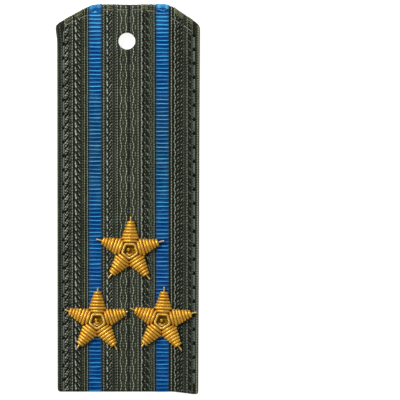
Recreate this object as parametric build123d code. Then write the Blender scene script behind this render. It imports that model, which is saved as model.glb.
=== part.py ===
from build123d import *
import os
from math import cos, radians, sin

# The shoulder board lies on its back. +Y runs to the collar end, +Z up, millimetres.

# Plan of the board
board_length = 138.5
board_width = 51.4  # over the two shoulder corners, before they are rounded
shoulder_drop = 7.1  # from the top edge down to the shoulder corners
top_edge_left = 12.6  # from the middle line to the left end of the top edge
top_edge_right = 14.9
flare = 0.75  # the left side springs out by this much at its shoulder
flare_length = 6.0
end_inset_left = 0.9  # the open end stands in from the shoulders by this much
end_inset_right = 0.6
end_dip = 1.1  # the right corner of the open end hangs lower than the left
end_dip_length = 8.8
shoulder_radius = 0.9
top_left_radius = 14.0
top_right_radius = 8.0
end_radius = 1.0
flare_radius = 14.0
end_sweep_radius = 9.0  # where the end turns down to its right corner
end_overlap = 8.0  # the long form that the open end is cut from

# Layers
backing_thickness = 1.8
cover_floor = 0.5  # cloth left under the stripes
stripe_thickness = 0.8
side_wall = 1.2
edge_radius = 1.2
rim_lift = 0.25  # the turned edge of the cover stays this far off the table
layer_gap = 0.1
end_gap = 0.15

# Woven ribs of the cover
rib_height = 0.26
seam_depth = 0.2

# Stripes
stripe_width = 5.0
stripe_gap = 0.08
left_field = 10.9  # from the board's side to the left stripe
right_field = 10.15
stripe_rib_pitch = 1.4
stripe_rib_height = 0.22

# Button hole
hole_radius = 3.0
hole_from_top = 13.0
hole_x = -0.2

# Stars of gold purl
star_arms = 5
star_inner_radius = 5.3  # to the corner between two arms
arm_reach = 10.5  # to the blunt end of an arm
arm_tip_width = 2.7
arm_rows = 7
arm_gap = 0.1
ridge_height = 2.3
ridge_height_tip = 1.5
arm_edge_height = 0.75
row_groove = 0.16
ring_apothem = 2.25
ring_thickness = 0.95
ring_corner = 0.9
ring_to_arm = 0.225  # between the ring and the arms round it
bead_diameter = 1.5
pin_diameter = 0.55
pin_length = 1.7
pin_gap = 0.08
star_gap = 0.06
pair_gap = 0.55  # between the facing pins of the two lower stars
pair_shift = 0.85  # the middle of the lower pair, right of the middle line
pair_from_end = 25.15  # from the open end up to the two lower stars
top_star_rise = 24.9  # from the lower pair up to the top star
top_star_x = 0.9

# Worked out from the sizes above
cover_thickness = cover_floor + stripe_thickness
cover_bottom = backing_thickness + layer_gap
face_z = cover_bottom + cover_thickness
crest_z = face_z + rib_height
half_length = board_length / 2
half_width = board_width / 2
end_half_left = half_width - end_inset_left
end_half_right = half_width - end_inset_right
left_stripe_x = left_field + stripe_width / 2 - end_half_left
right_stripe_x = end_half_right - stripe_width / 2 - right_field
pair_y = pair_from_end + end_dip - half_length
half_arm_angle = radians(180 / star_arms)
arm_start = ring_apothem + ring_thickness / 2 + ring_to_arm

# Ribs across each field, from its left edge: middle and width as shares of the field, height as a
# share of rib_height. A negative height is a seam's groove, as a share of seam_depth.
left_field_ribs = [
    ("edge cord", 0.115, 0.055, 0.8),
    ("seam", 0.187, 0.075, -1.0),
    ("outer twill", 0.345, 0.215, 0.6),
    ("light cord", 0.490, 0.055, 1.0),
    ("inner twill", 0.675, 0.270, 0.6),
    ("tan cord", 0.868, 0.080, 0.9),
    ("selvedge cord", 0.960, 0.045, 0.9),
]
centre_field_ribs = [
    ("selvedge cord", 0.034, 0.028, 0.9),
    ("left twill", 0.150, 0.135, 0.6),
    ("left cord", 0.275, 0.034, 1.0),
    ("inner left cord", 0.350, 0.034, 1.0),
    ("first wave", 0.405, 0.038, 0.8),
    ("second wave", 0.455, 0.038, 0.8),
    ("third wave", 0.530, 0.045, 0.8),
    ("fourth wave", 0.585, 0.038, 0.8),
    ("fifth wave", 0.640, 0.038, 0.8),
    ("right cord", 0.735, 0.034, 1.0),
    ("right twill", 0.830, 0.110, 0.6),
    ("tan cord", 0.928, 0.040, 0.9),
    ("selvedge cord", 0.972, 0.025, 0.9),
]
right_field_ribs = [
    ("selvedge cord", 0.045, 0.045, 0.9),
    ("khaki cord", 0.110, 0.055, 0.9),
    ("inner twill", 0.355, 0.345, 0.6),
    ("light cord", 0.600, 0.055, 1.0),
    ("outer twill", 0.712, 0.110, 0.6),
    ("seam", 0.825, 0.075, -1.0),
]

# Pins of each star, clockwise from the top arm: lean in degrees and length as a share of pin_length
top_star_pins = [(3, 0.95), (-2, 1.2), (4, 1.1), (-3, 1.1), (6, 1.2)]
left_star_pins = [(-2, 0.6), (3, 0.45), (-3, 1.05), (2, 0.85), (-4, 0.95)]
right_star_pins = [(2, 0.9), (-3, 1.05), (3, 1.1), (4, 0.7), (-2, 1.05)]


def tip_reach(pins, number):
    """How far one pin's tip stands from its star's middle, across the board."""
    _, share = pins[number % len(pins)]
    return (arm_reach + pin_gap + share * pin_length) * sin(2 * half_arm_angle)


# Stars: name, middle, turn clockwise in degrees, pins. The lower two stand pin to pin.
facing_tips = tip_reach(left_star_pins, 1) + tip_reach(right_star_pins, star_arms - 1)
pair_half = (facing_tips + pair_gap) / 2
stars = [
    ("star_top", (top_star_x, pair_y + top_star_rise), 1.7, top_star_pins),
    ("star_left", (pair_shift - pair_half, pair_y), 0.8, left_star_pins),
    ("star_right", (pair_shift + pair_half, pair_y), 3.3, right_star_pins),
]


def outline(extra):
    """The board in plan. extra lengthens its open end, with the sides run on in line."""
    bottom = -half_length - extra
    shoulder_y = half_length - shoulder_drop
    left_neck = half_width - flare
    left_lean = (left_neck - end_half_left) / (board_length - shoulder_drop - flare_length - end_dip)
    right_lean = (half_width - end_half_right) / (board_length - shoulder_drop)
    left_end = end_half_left - extra * left_lean
    right_end = end_half_right - extra * right_lean
    corners = [
        (-left_end, bottom + end_dip, end_radius),
        (right_end - end_dip_length, bottom + end_dip, end_sweep_radius),
        (right_end, bottom, end_radius),
        (half_width, shoulder_y, shoulder_radius),
        (top_edge_right, half_length, top_right_radius),
        (-top_edge_left, half_length, top_left_radius),
        (-half_width, shoulder_y, shoulder_radius),
        (-left_neck, shoulder_y - flare_length, flare_radius),
    ]
    points = [(x, y) for x, y, _ in corners]
    radii = [radius for _, _, radius in corners]
    return make_face(FilletPolyline(*points, radius=radii, close=True).edges())


def slab(face, low, high):
    """A plan face made solid between two heights."""
    return extrude(Pos(0, 0, low) * face, high - low)


def long_slab(inset, low, high):
    """The long form of the board, drawn in by inset, between two heights."""
    face = outline(end_overlap)
    return slab(offset(face, -inset) if inset > 0 else face, low, high)


def end_trim(shortened):
    """What keeps a layer inside the open end, drawn back by shortened."""
    return Pos(0, shortened, 0) * slab(outline(0), -layer_gap, 2 * crest_z)


def pillow():
    """The whole board with its upper edges rolled over, cut square at the open end."""
    body = long_slab(0, rim_lift, crest_z)
    rolled = fillet(body.faces().sort_by(Axis.Z)[-1].edges(), edge_radius)
    return rolled & end_trim(0)


def field_sides():
    """The left and right side of each woven field."""
    half_stripe = stripe_width / 2
    return [
        (-end_half_left, left_stripe_x - half_stripe, left_field_ribs),
        (left_stripe_x + half_stripe, right_stripe_x - half_stripe, centre_field_ribs),
        (right_stripe_x + half_stripe, end_half_right, right_field_ribs),
    ]


def ribbed_section():
    """The cover's section across the board: ribs and seam grooves on a flat face."""
    at = (-half_width, face_z)
    edges = []
    for left, right, ribs in field_sides():
        span = right - left
        for _, middle, width, height in ribs:
            rise = height * (rib_height if height > 0 else seam_depth)
            start = (left + span * (middle - width / 2), face_z)
            top = (left + span * middle, face_z + rise)
            end = (left + span * (middle + width / 2), face_z)
            edges += [Line(at, start), ThreePointArc(start, top, end)]
            at = end
    corners = [at, (half_width, face_z), (half_width, 0), (-half_width, 0), (-half_width, face_z)]
    edges += [Line(a, b) for a, b in zip(corners, corners[1:])]
    return make_face(edges)


def along_board(section):
    """A section in X and Z drawn out over the whole length."""
    return extrude(Plane.XZ * section, half_length + end_overlap, both=True)


def stripe_column(middle, width):
    """The band of the board that a stripe takes, from side to side."""
    return Pos(middle, 0, crest_z) * Box(width, 2 * (board_length + end_overlap), 4 * crest_z)


def button_hole(radius):
    return Pos(hole_x, half_length - hole_from_top, crest_z) * Cylinder(radius, 4 * crest_z)


def backing():
    """The stiff cloth-faced base that lies on the shoulder."""
    wall = side_wall + layer_gap
    board = long_slab(wall, 0, backing_thickness) & end_trim(end_gap)
    return board - button_hole(hole_radius)


def galloon():
    """The woven cover: rolled over the sides and the top edge, with a channel for each stripe."""
    cover = along_board(ribbed_section()) & pillow()
    cover -= long_slab(side_wall, -layer_gap, cover_bottom)
    for middle in (left_stripe_x, right_stripe_x):
        column = stripe_column(middle, stripe_width + 2 * stripe_gap)
        cover -= column - long_slab(stripe_thickness, -layer_gap, face_z - stripe_thickness)
    return cover - button_hole(hole_radius)


def stripe_section():
    """The stripe's section along the board: cross ribs all the way."""
    low = face_z - stripe_rib_height
    count = int((board_length + 2 * end_overlap) / stripe_rib_pitch)
    start_y = half_length + end_overlap
    edges = []
    for i in range(count):
        a = (start_y - i * stripe_rib_pitch, low)
        b = (start_y - (i + 0.5) * stripe_rib_pitch, low + stripe_rib_height)
        c = (start_y - (i + 1) * stripe_rib_pitch, low)
        edges.append(ThreePointArc(a, b, c))
    last_y = start_y - count * stripe_rib_pitch
    corners = [(last_y, low), (last_y, 0), (start_y, 0), (start_y, low)]
    edges += [Line(a, b) for a, b in zip(corners, corners[1:])]
    return make_face(edges)


def stripe(middle):
    """A ribbed band that lies in its channel and turns down over the top edge."""
    band = extrude(Plane.YZ * stripe_section(), half_width, both=True)
    band &= stripe_column(middle, stripe_width)
    band &= pillow()
    depth = stripe_thickness - stripe_gap
    return band - long_slab(depth, -layer_gap, face_z - depth)


def arm_half_width(along):
    """Half the width of an arm at a distance from the star's middle."""
    wedge = (along * sin(half_arm_angle) - arm_gap / 2) / cos(half_arm_angle)
    shoulder = star_inner_radius * cos(half_arm_angle)
    shoulder_half = star_inner_radius * sin(half_arm_angle) - arm_gap / 2
    share = max(0, (along - shoulder) / (arm_reach - shoulder))
    return min(wedge, shoulder_half + share * (arm_tip_width / 2 - shoulder_half))


def arm_section(along, shrink):
    """An arch across an arm: a flat foot, two low sides and a round top."""
    half = arm_half_width(along) - shrink
    share = (along - arm_start) / (arm_reach - arm_start)
    ridge = ridge_height + share * (ridge_height_tip - ridge_height) - shrink
    side = arm_edge_height - shrink
    arch = [
        Line((-half, side), (-half, 0)),
        Line((-half, 0), (half, 0)),
        Line((half, 0), (half, side)),
        ThreePointArc((half, side), (0, ridge), (-half, side)),
    ]
    return Plane((0, along, 0), x_dir=(1, 0, 0), z_dir=(0, -1, 0)) * make_face(arch)


def arm():
    """One arm of a star, wound across in rows, along +Y."""
    pitch = (arm_reach - arm_start) / arm_rows
    sections = []
    for i in range(arm_rows):
        sections.append(arm_section(arm_start + i * pitch, row_groove))
        sections.append(arm_section(arm_start + (i + 0.5) * pitch, 0))
    sections.append(arm_section(arm_reach, row_groove))
    return loft(sections, ruled=True)


def pin(lean, share):
    """The short straight purl that points out of an arm's end."""
    radius = pin_diameter / 2
    length = share * pin_length
    rod = Rot(-90, 0, 0) * Cylinder(radius, length, align=(Align.CENTER, Align.CENTER, Align.MIN))
    return Pos(0, arm_reach + pin_gap, radius) * Rot(0, 0, lean) * rod


def ring():
    """The coil round the star's middle, with one straight side for each arm."""
    radius = ring_thickness / 2
    corner = ring_apothem / cos(half_arm_angle)
    step = 2 * half_arm_angle
    turns = [(i + 0.5) * step for i in range(star_arms)]
    points = [(corner * sin(t), corner * cos(t), ring_height()) for t in turns]
    path = FilletPolyline(*points, radius=ring_corner, close=True)
    start = path ^ 0
    return sweep(start * Circle(radius), path=path)


def ring_height():
    """The height of the ring's middle over the star's foot."""
    return ridge_height - ring_thickness


def bead():
    return Pos(0, 0, bead_diameter / 2) * Sphere(bead_diameter / 2)


def star_pieces(name, middle, turn, pins):
    """Every piece of one star, with its node's name."""
    place = Pos(middle[0], middle[1], crest_z + star_gap) * Rot(0, 0, -turn)
    pieces = {f"{name}_ring": place * ring(), f"{name}_bead": place * bead()}
    for i in range(star_arms):
        way = place * Rot(0, 0, -360 / star_arms * i)
        pieces[f"{name}_arm_{i + 1}"] = way * arm()
        pieces[f"{name}_pin_{i + 1}"] = way * pin(*pins[i % len(pins)])
    return pieces


def board_pieces():
    """Every piece of the shoulder board, with its node's name."""
    pieces = {
        "backing": backing(),
        "galloon": galloon(),
        "blue_stripe_left": stripe(left_stripe_x),
        "blue_stripe_right": stripe(right_stripe_x),
    }
    for row in stars:
        pieces.update(star_pieces(*row))
    return pieces


def write_parts():
    """Centres the board on its own box and writes one file for each piece."""
    os.makedirs("parts", exist_ok=True)
    middle = outline(0).bounding_box().center()
    centred = Pos(-middle.X, -middle.Y, 0)
    for name, piece in board_pieces().items():
        export_step(centred * piece, f"parts/{name}.step")
    print("button hole at", hole_x - middle.X, half_length - hole_from_top - middle.Y)
    print("thickness of the board", crest_z)


write_parts()
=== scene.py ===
import math
import random

import bpy
import numpy as np
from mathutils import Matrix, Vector


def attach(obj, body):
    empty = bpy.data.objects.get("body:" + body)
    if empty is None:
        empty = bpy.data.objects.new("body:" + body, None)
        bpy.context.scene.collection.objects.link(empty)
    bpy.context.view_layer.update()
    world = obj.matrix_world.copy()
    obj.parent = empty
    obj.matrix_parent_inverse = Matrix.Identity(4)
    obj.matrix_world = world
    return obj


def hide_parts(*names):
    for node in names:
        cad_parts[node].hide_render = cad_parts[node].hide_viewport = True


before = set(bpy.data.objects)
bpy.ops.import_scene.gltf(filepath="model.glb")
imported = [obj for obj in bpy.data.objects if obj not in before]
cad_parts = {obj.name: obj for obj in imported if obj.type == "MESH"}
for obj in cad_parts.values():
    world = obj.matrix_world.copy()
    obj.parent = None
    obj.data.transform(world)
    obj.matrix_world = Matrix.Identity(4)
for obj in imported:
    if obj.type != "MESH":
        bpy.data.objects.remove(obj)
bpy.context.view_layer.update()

# Everything below is worked out in millimetres and turned to metres when a mesh is made.
mm = 0.001
turn = 2 * math.pi
dice = random.Random(7)


def within(size):
    # a random amount up to this size, either way
    return dice.uniform(-size, size)


# The board as it lies in plan, and how its cover is rolled over the edges.
board = {
    "length": 138.5,
    "width": 51.4,
    "shoulderDrop": 7.1,
    "shoulderRadius": 0.9,
    "topLeft": 12.6,
    "topLeftRadius": 14.0,
    "topRight": 14.9,
    "topRightRadius": 8.0,
    "flare": 0.75,
    "flareLength": 6.0,
    "flareRadius": 14.0,
    "endHalfLeft": 24.8,
    "endHalfRight": 25.1,
    "endRadius": 1.0,
    "endDip": 1.1,
    "endDipLength": 8.8,
    "endDipRadius": 9.0,
    "skin": 0.2,        # the cords stand this far out from the ground cloth's own edge
    "topSkin": 0.04,
    "slopeReach": 0.6,  # the slope of the top edge is taken over this much on each side
    "tipX": 24.6,       # past here, at the shoulder tips, that slope is eased
    "tipEase": 1.6,
    "roll": 1.2,        # radius of the rolled sides and top edge
    "groundTop": 3.08,  # height of the woven ground between its cords
    "uneven": 0.02,
    "wallFoot": 0.3,
    "holeX": -0.2335,
    "holeY": 56.184,
    "holeRadius": 3.0,
}


def cornerArc(before, corner, after, radius, parts=8):
    # points round one corner of the outline, from its start to its end
    a, b, c = (np.array(p[:2], float) for p in (before, corner, after))
    u = (a - b) / np.linalg.norm(a - b)
    v = (c - b) / np.linalg.norm(c - b)
    half = math.acos(float(np.clip(u @ v, -1, 1))) / 2
    middle = b + (u + v) / np.linalg.norm(u + v) * radius / math.sin(half)
    reach = radius / math.tan(half)
    start, end = b + u * reach - middle, b + v * reach - middle
    first = math.atan2(start[1], start[0])
    sweep = (math.atan2(end[1], end[0]) - first + math.pi) % turn - math.pi
    angles = first + sweep * np.arange(parts + 1) / parts
    return middle + radius * np.stack([np.cos(angles), np.sin(angles)], 1)


def planCurves():
    # the four sides of the board in plan: open end, right, top and left
    halfLength, halfWidth = board["length"] / 2, board["width"] / 2
    shoulder, dipY = halfLength - board["shoulderDrop"], board["endDip"] - halfLength
    corners = [
        (-board["endHalfLeft"], dipY, board["endRadius"]),
        (board["endHalfRight"] - board["endDipLength"], dipY, board["endDipRadius"]),
        (board["endHalfRight"], -halfLength, board["endRadius"]),
        (halfWidth, shoulder, board["shoulderRadius"]),
        (board["topRight"], halfLength, board["topRightRadius"]),
        (-board["topLeft"], halfLength, board["topLeftRadius"]),
        (-halfWidth, shoulder, board["shoulderRadius"]),
        (board["flare"] - halfWidth, shoulder - board["flareLength"], board["flareRadius"]),
    ]
    arcs = [cornerArc(corners[i - 1], c, corners[(i + 1) % 8], c[2]) for i, c in enumerate(corners)]
    everything = np.concatenate(arcs)
    middle = (everything.min(0) + everything.max(0)) / 2
    arcs = [a - middle for a in arcs]
    firstHalf, lastHalf = slice(0, 5), slice(4, 9)
    openEnd = np.concatenate([arcs[0][lastHalf], arcs[1], arcs[2][firstHalf]])
    right = np.concatenate([arcs[2][lastHalf], arcs[3][firstHalf]])
    top = np.concatenate([arcs[3][lastHalf], arcs[4], arcs[5], arcs[6][firstHalf]])[::-1]
    left = np.concatenate([arcs[6][lastHalf], arcs[7], arcs[0][firstHalf]])[::-1]
    return openEnd, right, top, left


openEndCurve, rightCurve, topCurve, leftCurve = planCurves()


def endY(x):
    return np.interp(x, openEndCurve[:, 0], openEndCurve[:, 1])


def topY(x):
    return np.interp(x, topCurve[:, 0], topCurve[:, 1]) - board["topSkin"]


def leftX(y):
    return np.interp(y, leftCurve[:, 1], leftCurve[:, 0]) + board["skin"]


def rightX(y):
    return np.interp(y, rightCurve[:, 1], rightCurve[:, 0]) - board["skin"]


def topNormal(x):
    # outward direction of the top edge at x
    reach = board["slopeReach"]
    slope = (topY(np.asarray(x) + reach) - topY(np.asarray(x) - reach)) / (2 * reach)
    slope = np.where(np.abs(x) > board["tipX"], slope / board["tipEase"], slope)
    size = np.sqrt(1 + slope ** 2)
    return -slope / size, 1 / size


# One line of stitches holds the cover to its base, up both sides and along the turned top.
stitchLine = {
    "left": [(-22.7, -68.97), (-22.7, 61.2)],
    "top": [(-22.6, 61.3), (-20.95, 62.5), (-14.4, 65.3), (-9.6, 67.25),
            (9.4, 67.15), (14.45, 64.75), (18.3, 62.9), (23.5, 59.1)],
    "right": [(23.7, 58.12), (23.66, -68.6)],
    "pitch": 4.964,
    "endGap": 0.5,        # bare cloth at each end of a stitch
    "halfWidth": {"left": 0.2, "right": 0.33, "top": 0.15},
    "halfHeight": {"left": 0.2, "right": 0.2, "top": 0.12},
    "buried": 0.25,       # how deep its ends lie, and how far its middle rises from there
    "rise": 0.5,
    "hook": 0.28,         # its last part, from hookFrom on, bends aside under the lock
    "hookFrom": 0.85,
    "diveShare": 0.09,    # the share of it that each end takes to come up
    "cutLength": 0.4,     # how far the first stitch runs on past the open end, where it is cut off
    "ribbonSink": 0.42,   # it sinks into the turned ribbons
    "lockTail": {"left": -0.5, "right": -0.9},
    "wobble": 0.04,
    "tones": (0.3, 0.8),
    "lockTones": (0, 0.3),
    "lockHalfLength": 0.5,
    "lockAside": -0.08,
    "lockSlant": 0.15,
    "lockRise": 0.3,
    "lockRound": 0.4,
    "lockHalfWidth": 0.46,
    "lockHalfHeight": 0.2,
    "tailSlant": [0.25, 0.1, 0, 0, 0],
    "tailRise": [0.05, 0.22, 0.28, 0.28, 0.2],
    "tailHalfWidth": 0.17,
    "tailHalfHeight": 0.12,
    "grooveWidth": 0.5,
    "grooveDepth": 0.17,
}


def distanceToLine(x, y, corners):
    best = np.full(np.shape(x), 1e9)
    for a, b in zip(corners, corners[1:]):
        a, b = np.array(a), np.array(b)
        way = b - a
        share = np.clip(((x - a[0]) * way[0] + (y - a[1]) * way[1]) / (way @ way), 0, 1)
        best = np.minimum(best, np.hypot(x - a[0] - share * way[0], y - a[1] - share * way[1]))
    return best


def reliefAt(x, y):
    # the groove that the stitches pull into the cover, and a faint unevenness of the cloth
    line = stitchLine["left"] + stitchLine["top"] + stitchLine["right"]
    near = distanceToLine(x, y, line) / stitchLine["grooveWidth"]
    uneven = board["uneven"] * np.sin(0.21 * x + 0.9) * np.sin(0.13 * y + 0.4)
    return uneven - stitchLine["grooveDepth"] * np.exp(-near ** 2)


def coverPoint(x, y, height):
    # a point over the cover in plan, let down over its rolled sides
    x, y = np.broadcast_arrays(np.asarray(x, float), np.asarray(y, float))
    roll = board["roll"]
    left, right = x - leftX(y), rightX(y) - x
    inside = np.clip(np.minimum(left, right), 0, roll)
    lean = (roll - inside) / roll
    level = np.sqrt(np.clip(1 - lean ** 2, 0, 1))
    side = np.where(left < right, -1.0, 1.0)
    z = board["groundTop"] - roll * (1 - level) + reliefAt(x, y) + height * level
    normal = np.stack([side * lean, np.zeros_like(x), level], -1)
    place = np.stack([x + side * lean * height, y, z], -1)
    return place, normal


def runLength(points):
    # the length of a line up to each of its points
    return np.concatenate([[0], np.cumsum(np.linalg.norm(np.diff(points, axis=0), axis=1))])


def pointsAt(points, at):
    # the points that lie at given lengths along a line
    run = runLength(points)
    return np.stack([np.interp(at, run, column) for column in points.T], 1)


def pointsAlong(corners, pitch):
    # stitch ends spread along a line with corners
    corners = np.array(corners, float)
    count = int(runLength(corners)[-1] / pitch)
    return pointsAt(corners, np.arange(count + 1) * pitch)


# A bundle gathers the points, faces and marks of one joined mesh.
def newBundle():
    return {"points": [], "faces": [], "marks": [], "count": 0}


def addPoints(bundle, points, marks=None):
    # gives back the number of each new point
    index = bundle["count"] + np.arange(points[..., 0].size).reshape(points.shape[:-1])
    bundle["points"].append(points.reshape(-1, 3))
    bundle["marks"].append(np.zeros((index.size, 3)) if marks is None else marks.reshape(-1, 3))
    bundle["count"] += index.size
    return index


def addSkin(bundle, rings, marks=None, joined=False):
    # a closed skin through rings of points, with a cap at each end or joined end to end
    index = addPoints(bundle, rings, marks)
    caps = [] if joined else [index[0][::-1].tolist(), index[-1].tolist()]
    if joined:
        index = np.concatenate([index, index[:1]])
    after = np.roll(index, -1, 1)
    quads = np.stack([index[:-1], after[:-1], after[1:], index[1:]], -1)
    bundle["faces"] += quads.reshape(-1, 4).tolist() + caps


def addGrid(bundle, points, marks=None, skip=None):
    # a sheet of quads through an array of rows of points
    index = addPoints(bundle, points, marks)
    quads = np.stack([index[:-1, :-1], index[:-1, 1:], index[1:, 1:], index[1:, :-1]], -1)
    if skip is not None:
        quads = quads[~skip]
    bundle["faces"] += quads.reshape(-1, 4).tolist()
    return index


def strandTags(run, sides, tone):
    # the marks of a strand: length run, turn round it, and tone
    return np.stack(np.broadcast_arrays(run[:, None], np.arange(sides) / sides, tone), -1)


def addTube(bundle, points, normals, halfWidth, halfHeight, tone, sides=6, twist=None):
    # a closed strand along points
    points = np.asarray(points, float)
    n = len(points)
    way = np.gradient(points, axis=0)
    way /= np.linalg.norm(way, axis=1)[:, None]
    across = np.cross(way, normals)
    across /= np.linalg.norm(across, axis=1)[:, None]
    up = np.cross(across, way)
    run = runLength(points)
    spin = turn * np.arange(sides) / sides - turn / 4
    swell = np.ones((n, sides))
    if twist:
        pitch, depth = twist
        swell += depth * np.cos(turn * run[:, None] / pitch - spin[None, :])
    wide = (np.broadcast_to(halfWidth, (n,))[:, None] * np.cos(spin) * swell)[..., None]
    tall = (np.broadcast_to(halfHeight, (n,))[:, None] * np.sin(spin) * swell)[..., None]
    ring = points[:, None] + across[:, None] * wide + up[:, None] * tall
    addSkin(bundle, ring, strandTags(run, sides, tone))


def makePiece(name, bundle, material, stands=()):
    # one object from a bundle, riding on the board
    mesh = bpy.data.meshes.new(name)
    points = np.concatenate(bundle["points"]) * mm
    mesh.from_pydata(points.tolist(), [], bundle["faces"])
    marks = mesh.attributes.new("strand", "FLOAT_VECTOR", "POINT")
    marks.data.foreach_set("vector", np.concatenate(bundle["marks"]).astype(np.float32).ravel())
    mesh.polygons.foreach_set("use_smooth", np.ones(len(mesh.polygons), bool))
    mesh.update()
    piece = bpy.data.objects.new(name, mesh)
    bpy.context.scene.collection.objects.link(piece)
    mesh.materials.append(material)
    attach(piece, "root")
    if stands:
        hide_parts(*stands)
    return piece


def keepFacing(piece):
    # turns every face of a closed piece outwards and drops points that no face uses
    bpy.context.view_layer.objects.active = piece
    piece.select_set(True)
    bpy.ops.object.mode_set(mode="EDIT")
    bpy.ops.mesh.select_all(action="SELECT")
    bpy.ops.mesh.delete_loose()
    bpy.ops.mesh.select_all(action="SELECT")
    bpy.ops.mesh.normals_make_consistent(inside=False)
    bpy.ops.object.mode_set(mode="OBJECT")
    piece.select_set(False)
    piece.data.update()


def thicken(piece, thickness):
    # a sheet gets its thickness on the side away from its face
    solid = piece.modifiers.new("thickness", "SOLIDIFY")
    solid.thickness = thickness * mm
    solid.offset = -1
    bpy.context.view_layer.objects.active = piece
    bpy.ops.object.modifier_apply(modifier=solid.name)


def countFaces(pieces):
    return sum(len(p.data.polygons) for p in pieces)


# Small helpers that wire shader nodes.
def node(tree, kind, values=None, **settings):
    made = tree.nodes.new("ShaderNode" + kind)
    for key, value in settings.items():
        setattr(made, key, value)
    for key, value in (values or {}).items():
        feed(tree, made.inputs[key], value)
    return made


def feed(tree, socket, value):
    # numbers and colours are set on the socket, outputs are linked to it
    if isinstance(value, (int, float, tuple)):
        socket.default_value = value
    else:
        tree.links.new(value, socket)


def feedAll(tree, made, values):
    for key, value in values.items():
        feed(tree, made.inputs[key], value)


def mathNode(tree, operation, *values):
    made = node(tree, "Math", operation=operation)
    for socket, value in zip(made.inputs, values):
        feed(tree, socket, value)
    return made.outputs[0]


def times(tree, a, b):
    return mathNode(tree, "MULTIPLY", a, b)


def minus(tree, a, b):
    return mathNode(tree, "SUBTRACT", a, b)


def plus(tree, first, *others):
    for other in others:
        first = mathNode(tree, "ADD", first, other)
    return first


def offCentre(tree, value, middle, size):
    # how far a value lies from its middle, scaled
    return times(tree, minus(tree, value, middle), size)


def halfWave(tree, angle, kind="SINE"):
    # a wave between 0 and 1
    return mathNode(tree, "MULTIPLY_ADD", mathNode(tree, kind, angle), 0.5, 0.5)


def clamp(tree, value):
    return node(tree, "Clamp", {0: value}).outputs[0]


def mixColour(tree, factor, a, b, blend="MIX"):
    made = node(tree, "Mix", data_type="RGBA", blend_type=blend)
    feedAll(tree, made, {0: factor, 6: a, 7: b})
    return made.outputs[2]


def combine(tree, x, y, z):
    return node(tree, "CombineXYZ", {0: x, 1: y, 2: z}).outputs[0]


def splitVector(tree, vector):
    return node(tree, "SeparateXYZ", {0: vector}).outputs


def noise(tree, vector, scale, detail=2.0, roughness=0.5):
    values = {"Vector": vector, "Scale": scale, "Detail": detail, "Roughness": roughness}
    return node(tree, "TexNoise", values).outputs["Fac"]


def position(tree):
    return node(tree, "NewGeometry").outputs["Position"]


def strandMarks(tree):
    # run, turn and tone of a strand
    return splitVector(tree, node(tree, "Attribute", attribute_name="strand").outputs["Vector"])


# Shader groups: effects that several materials share.
def makeGroup(name, inputs, outputs):
    group = bpy.data.node_groups.new(name, "ShaderNodeTree")
    for label, kind, value in inputs:
        group.interface.new_socket(label, in_out="INPUT", socket_type="NodeSocket" + kind)
        group.interface.items_tree[-1].default_value = value
    for label, kind in outputs:
        group.interface.new_socket(label, in_out="OUTPUT", socket_type="NodeSocket" + kind)
    return group, group.nodes.new("NodeGroupInput").outputs, group.nodes.new("NodeGroupOutput")


def makeCavityGroup():
    # how deep a spot lies between neighbouring strands, from the turn round its own strand
    group, given, end = makeGroup("betweenStrands", [
        ("Start", "Float", 0.12), ("End", "Float", 0.27),
    ], [("Mask", "Float")])
    aside = mathNode(group, "ABSOLUTE", minus(group, strandMarks(group)[1], 0.5))
    ramp = node(group, "MapRange", {"Value": aside, "From Min": given["Start"], "From Max": given["End"]},
                interpolation_type="SMOOTHSTEP")
    feedAll(group, end, {"Mask": ramp.outputs["Result"]})
    return group


def makePlyGroup():
    # twisted yarn: the plies wind round the strand, with fine fibres along them; each ply is painted lighter
    # on its crown and darker in the groove beside it, as painted shade
    group, given, end = makeGroup("twistedYarn", [
        ("Light", "Color", (0.2, 0.2, 0.17, 1)), ("Dark", "Color", (0.03, 0.03, 0.02, 1)),
        ("Ply Pitch", "Float", 0.8), ("Ply Shade", "Float", 0.5), ("Tone Spread", "Float", 0.5),
        ("Slant", "Float", 0.45),
    ], [("Color", "Color"), ("Height", "Float")])
    run, around, tone = strandMarks(group)
    wound = mathNode(group, "DIVIDE", run, given["Ply Pitch"])
    phase = plus(group, wound, times(group, around, given["Slant"]))
    wave = halfWave(group, times(group, phase, turn))
    stretched = combine(group, times(group, run, 1.3), times(group, phase, 9.0), times(group, tone, 37.0))
    fibre = noise(group, stretched, 1.6, 3.0, 0.6)
    patch = noise(group, position(group), 180.0)
    # the ply wave paints shade into the grooves between the plies
    lightness = plus(group, mathNode(group, "MULTIPLY_ADD", fibre, 0.5, -0.1),
                     times(group, wave, given["Ply Shade"]),
                     offCentre(group, tone, 0.5, given["Tone Spread"]),
                     offCentre(group, patch, 0.5, 0.6))
    colour = mixColour(group, clamp(group, lightness), given["Dark"], given["Light"])
    height = plus(group, wave, times(group, fibre, 0.6))
    feedAll(group, end, {"Color": colour, "Height": height})
    return group


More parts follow.
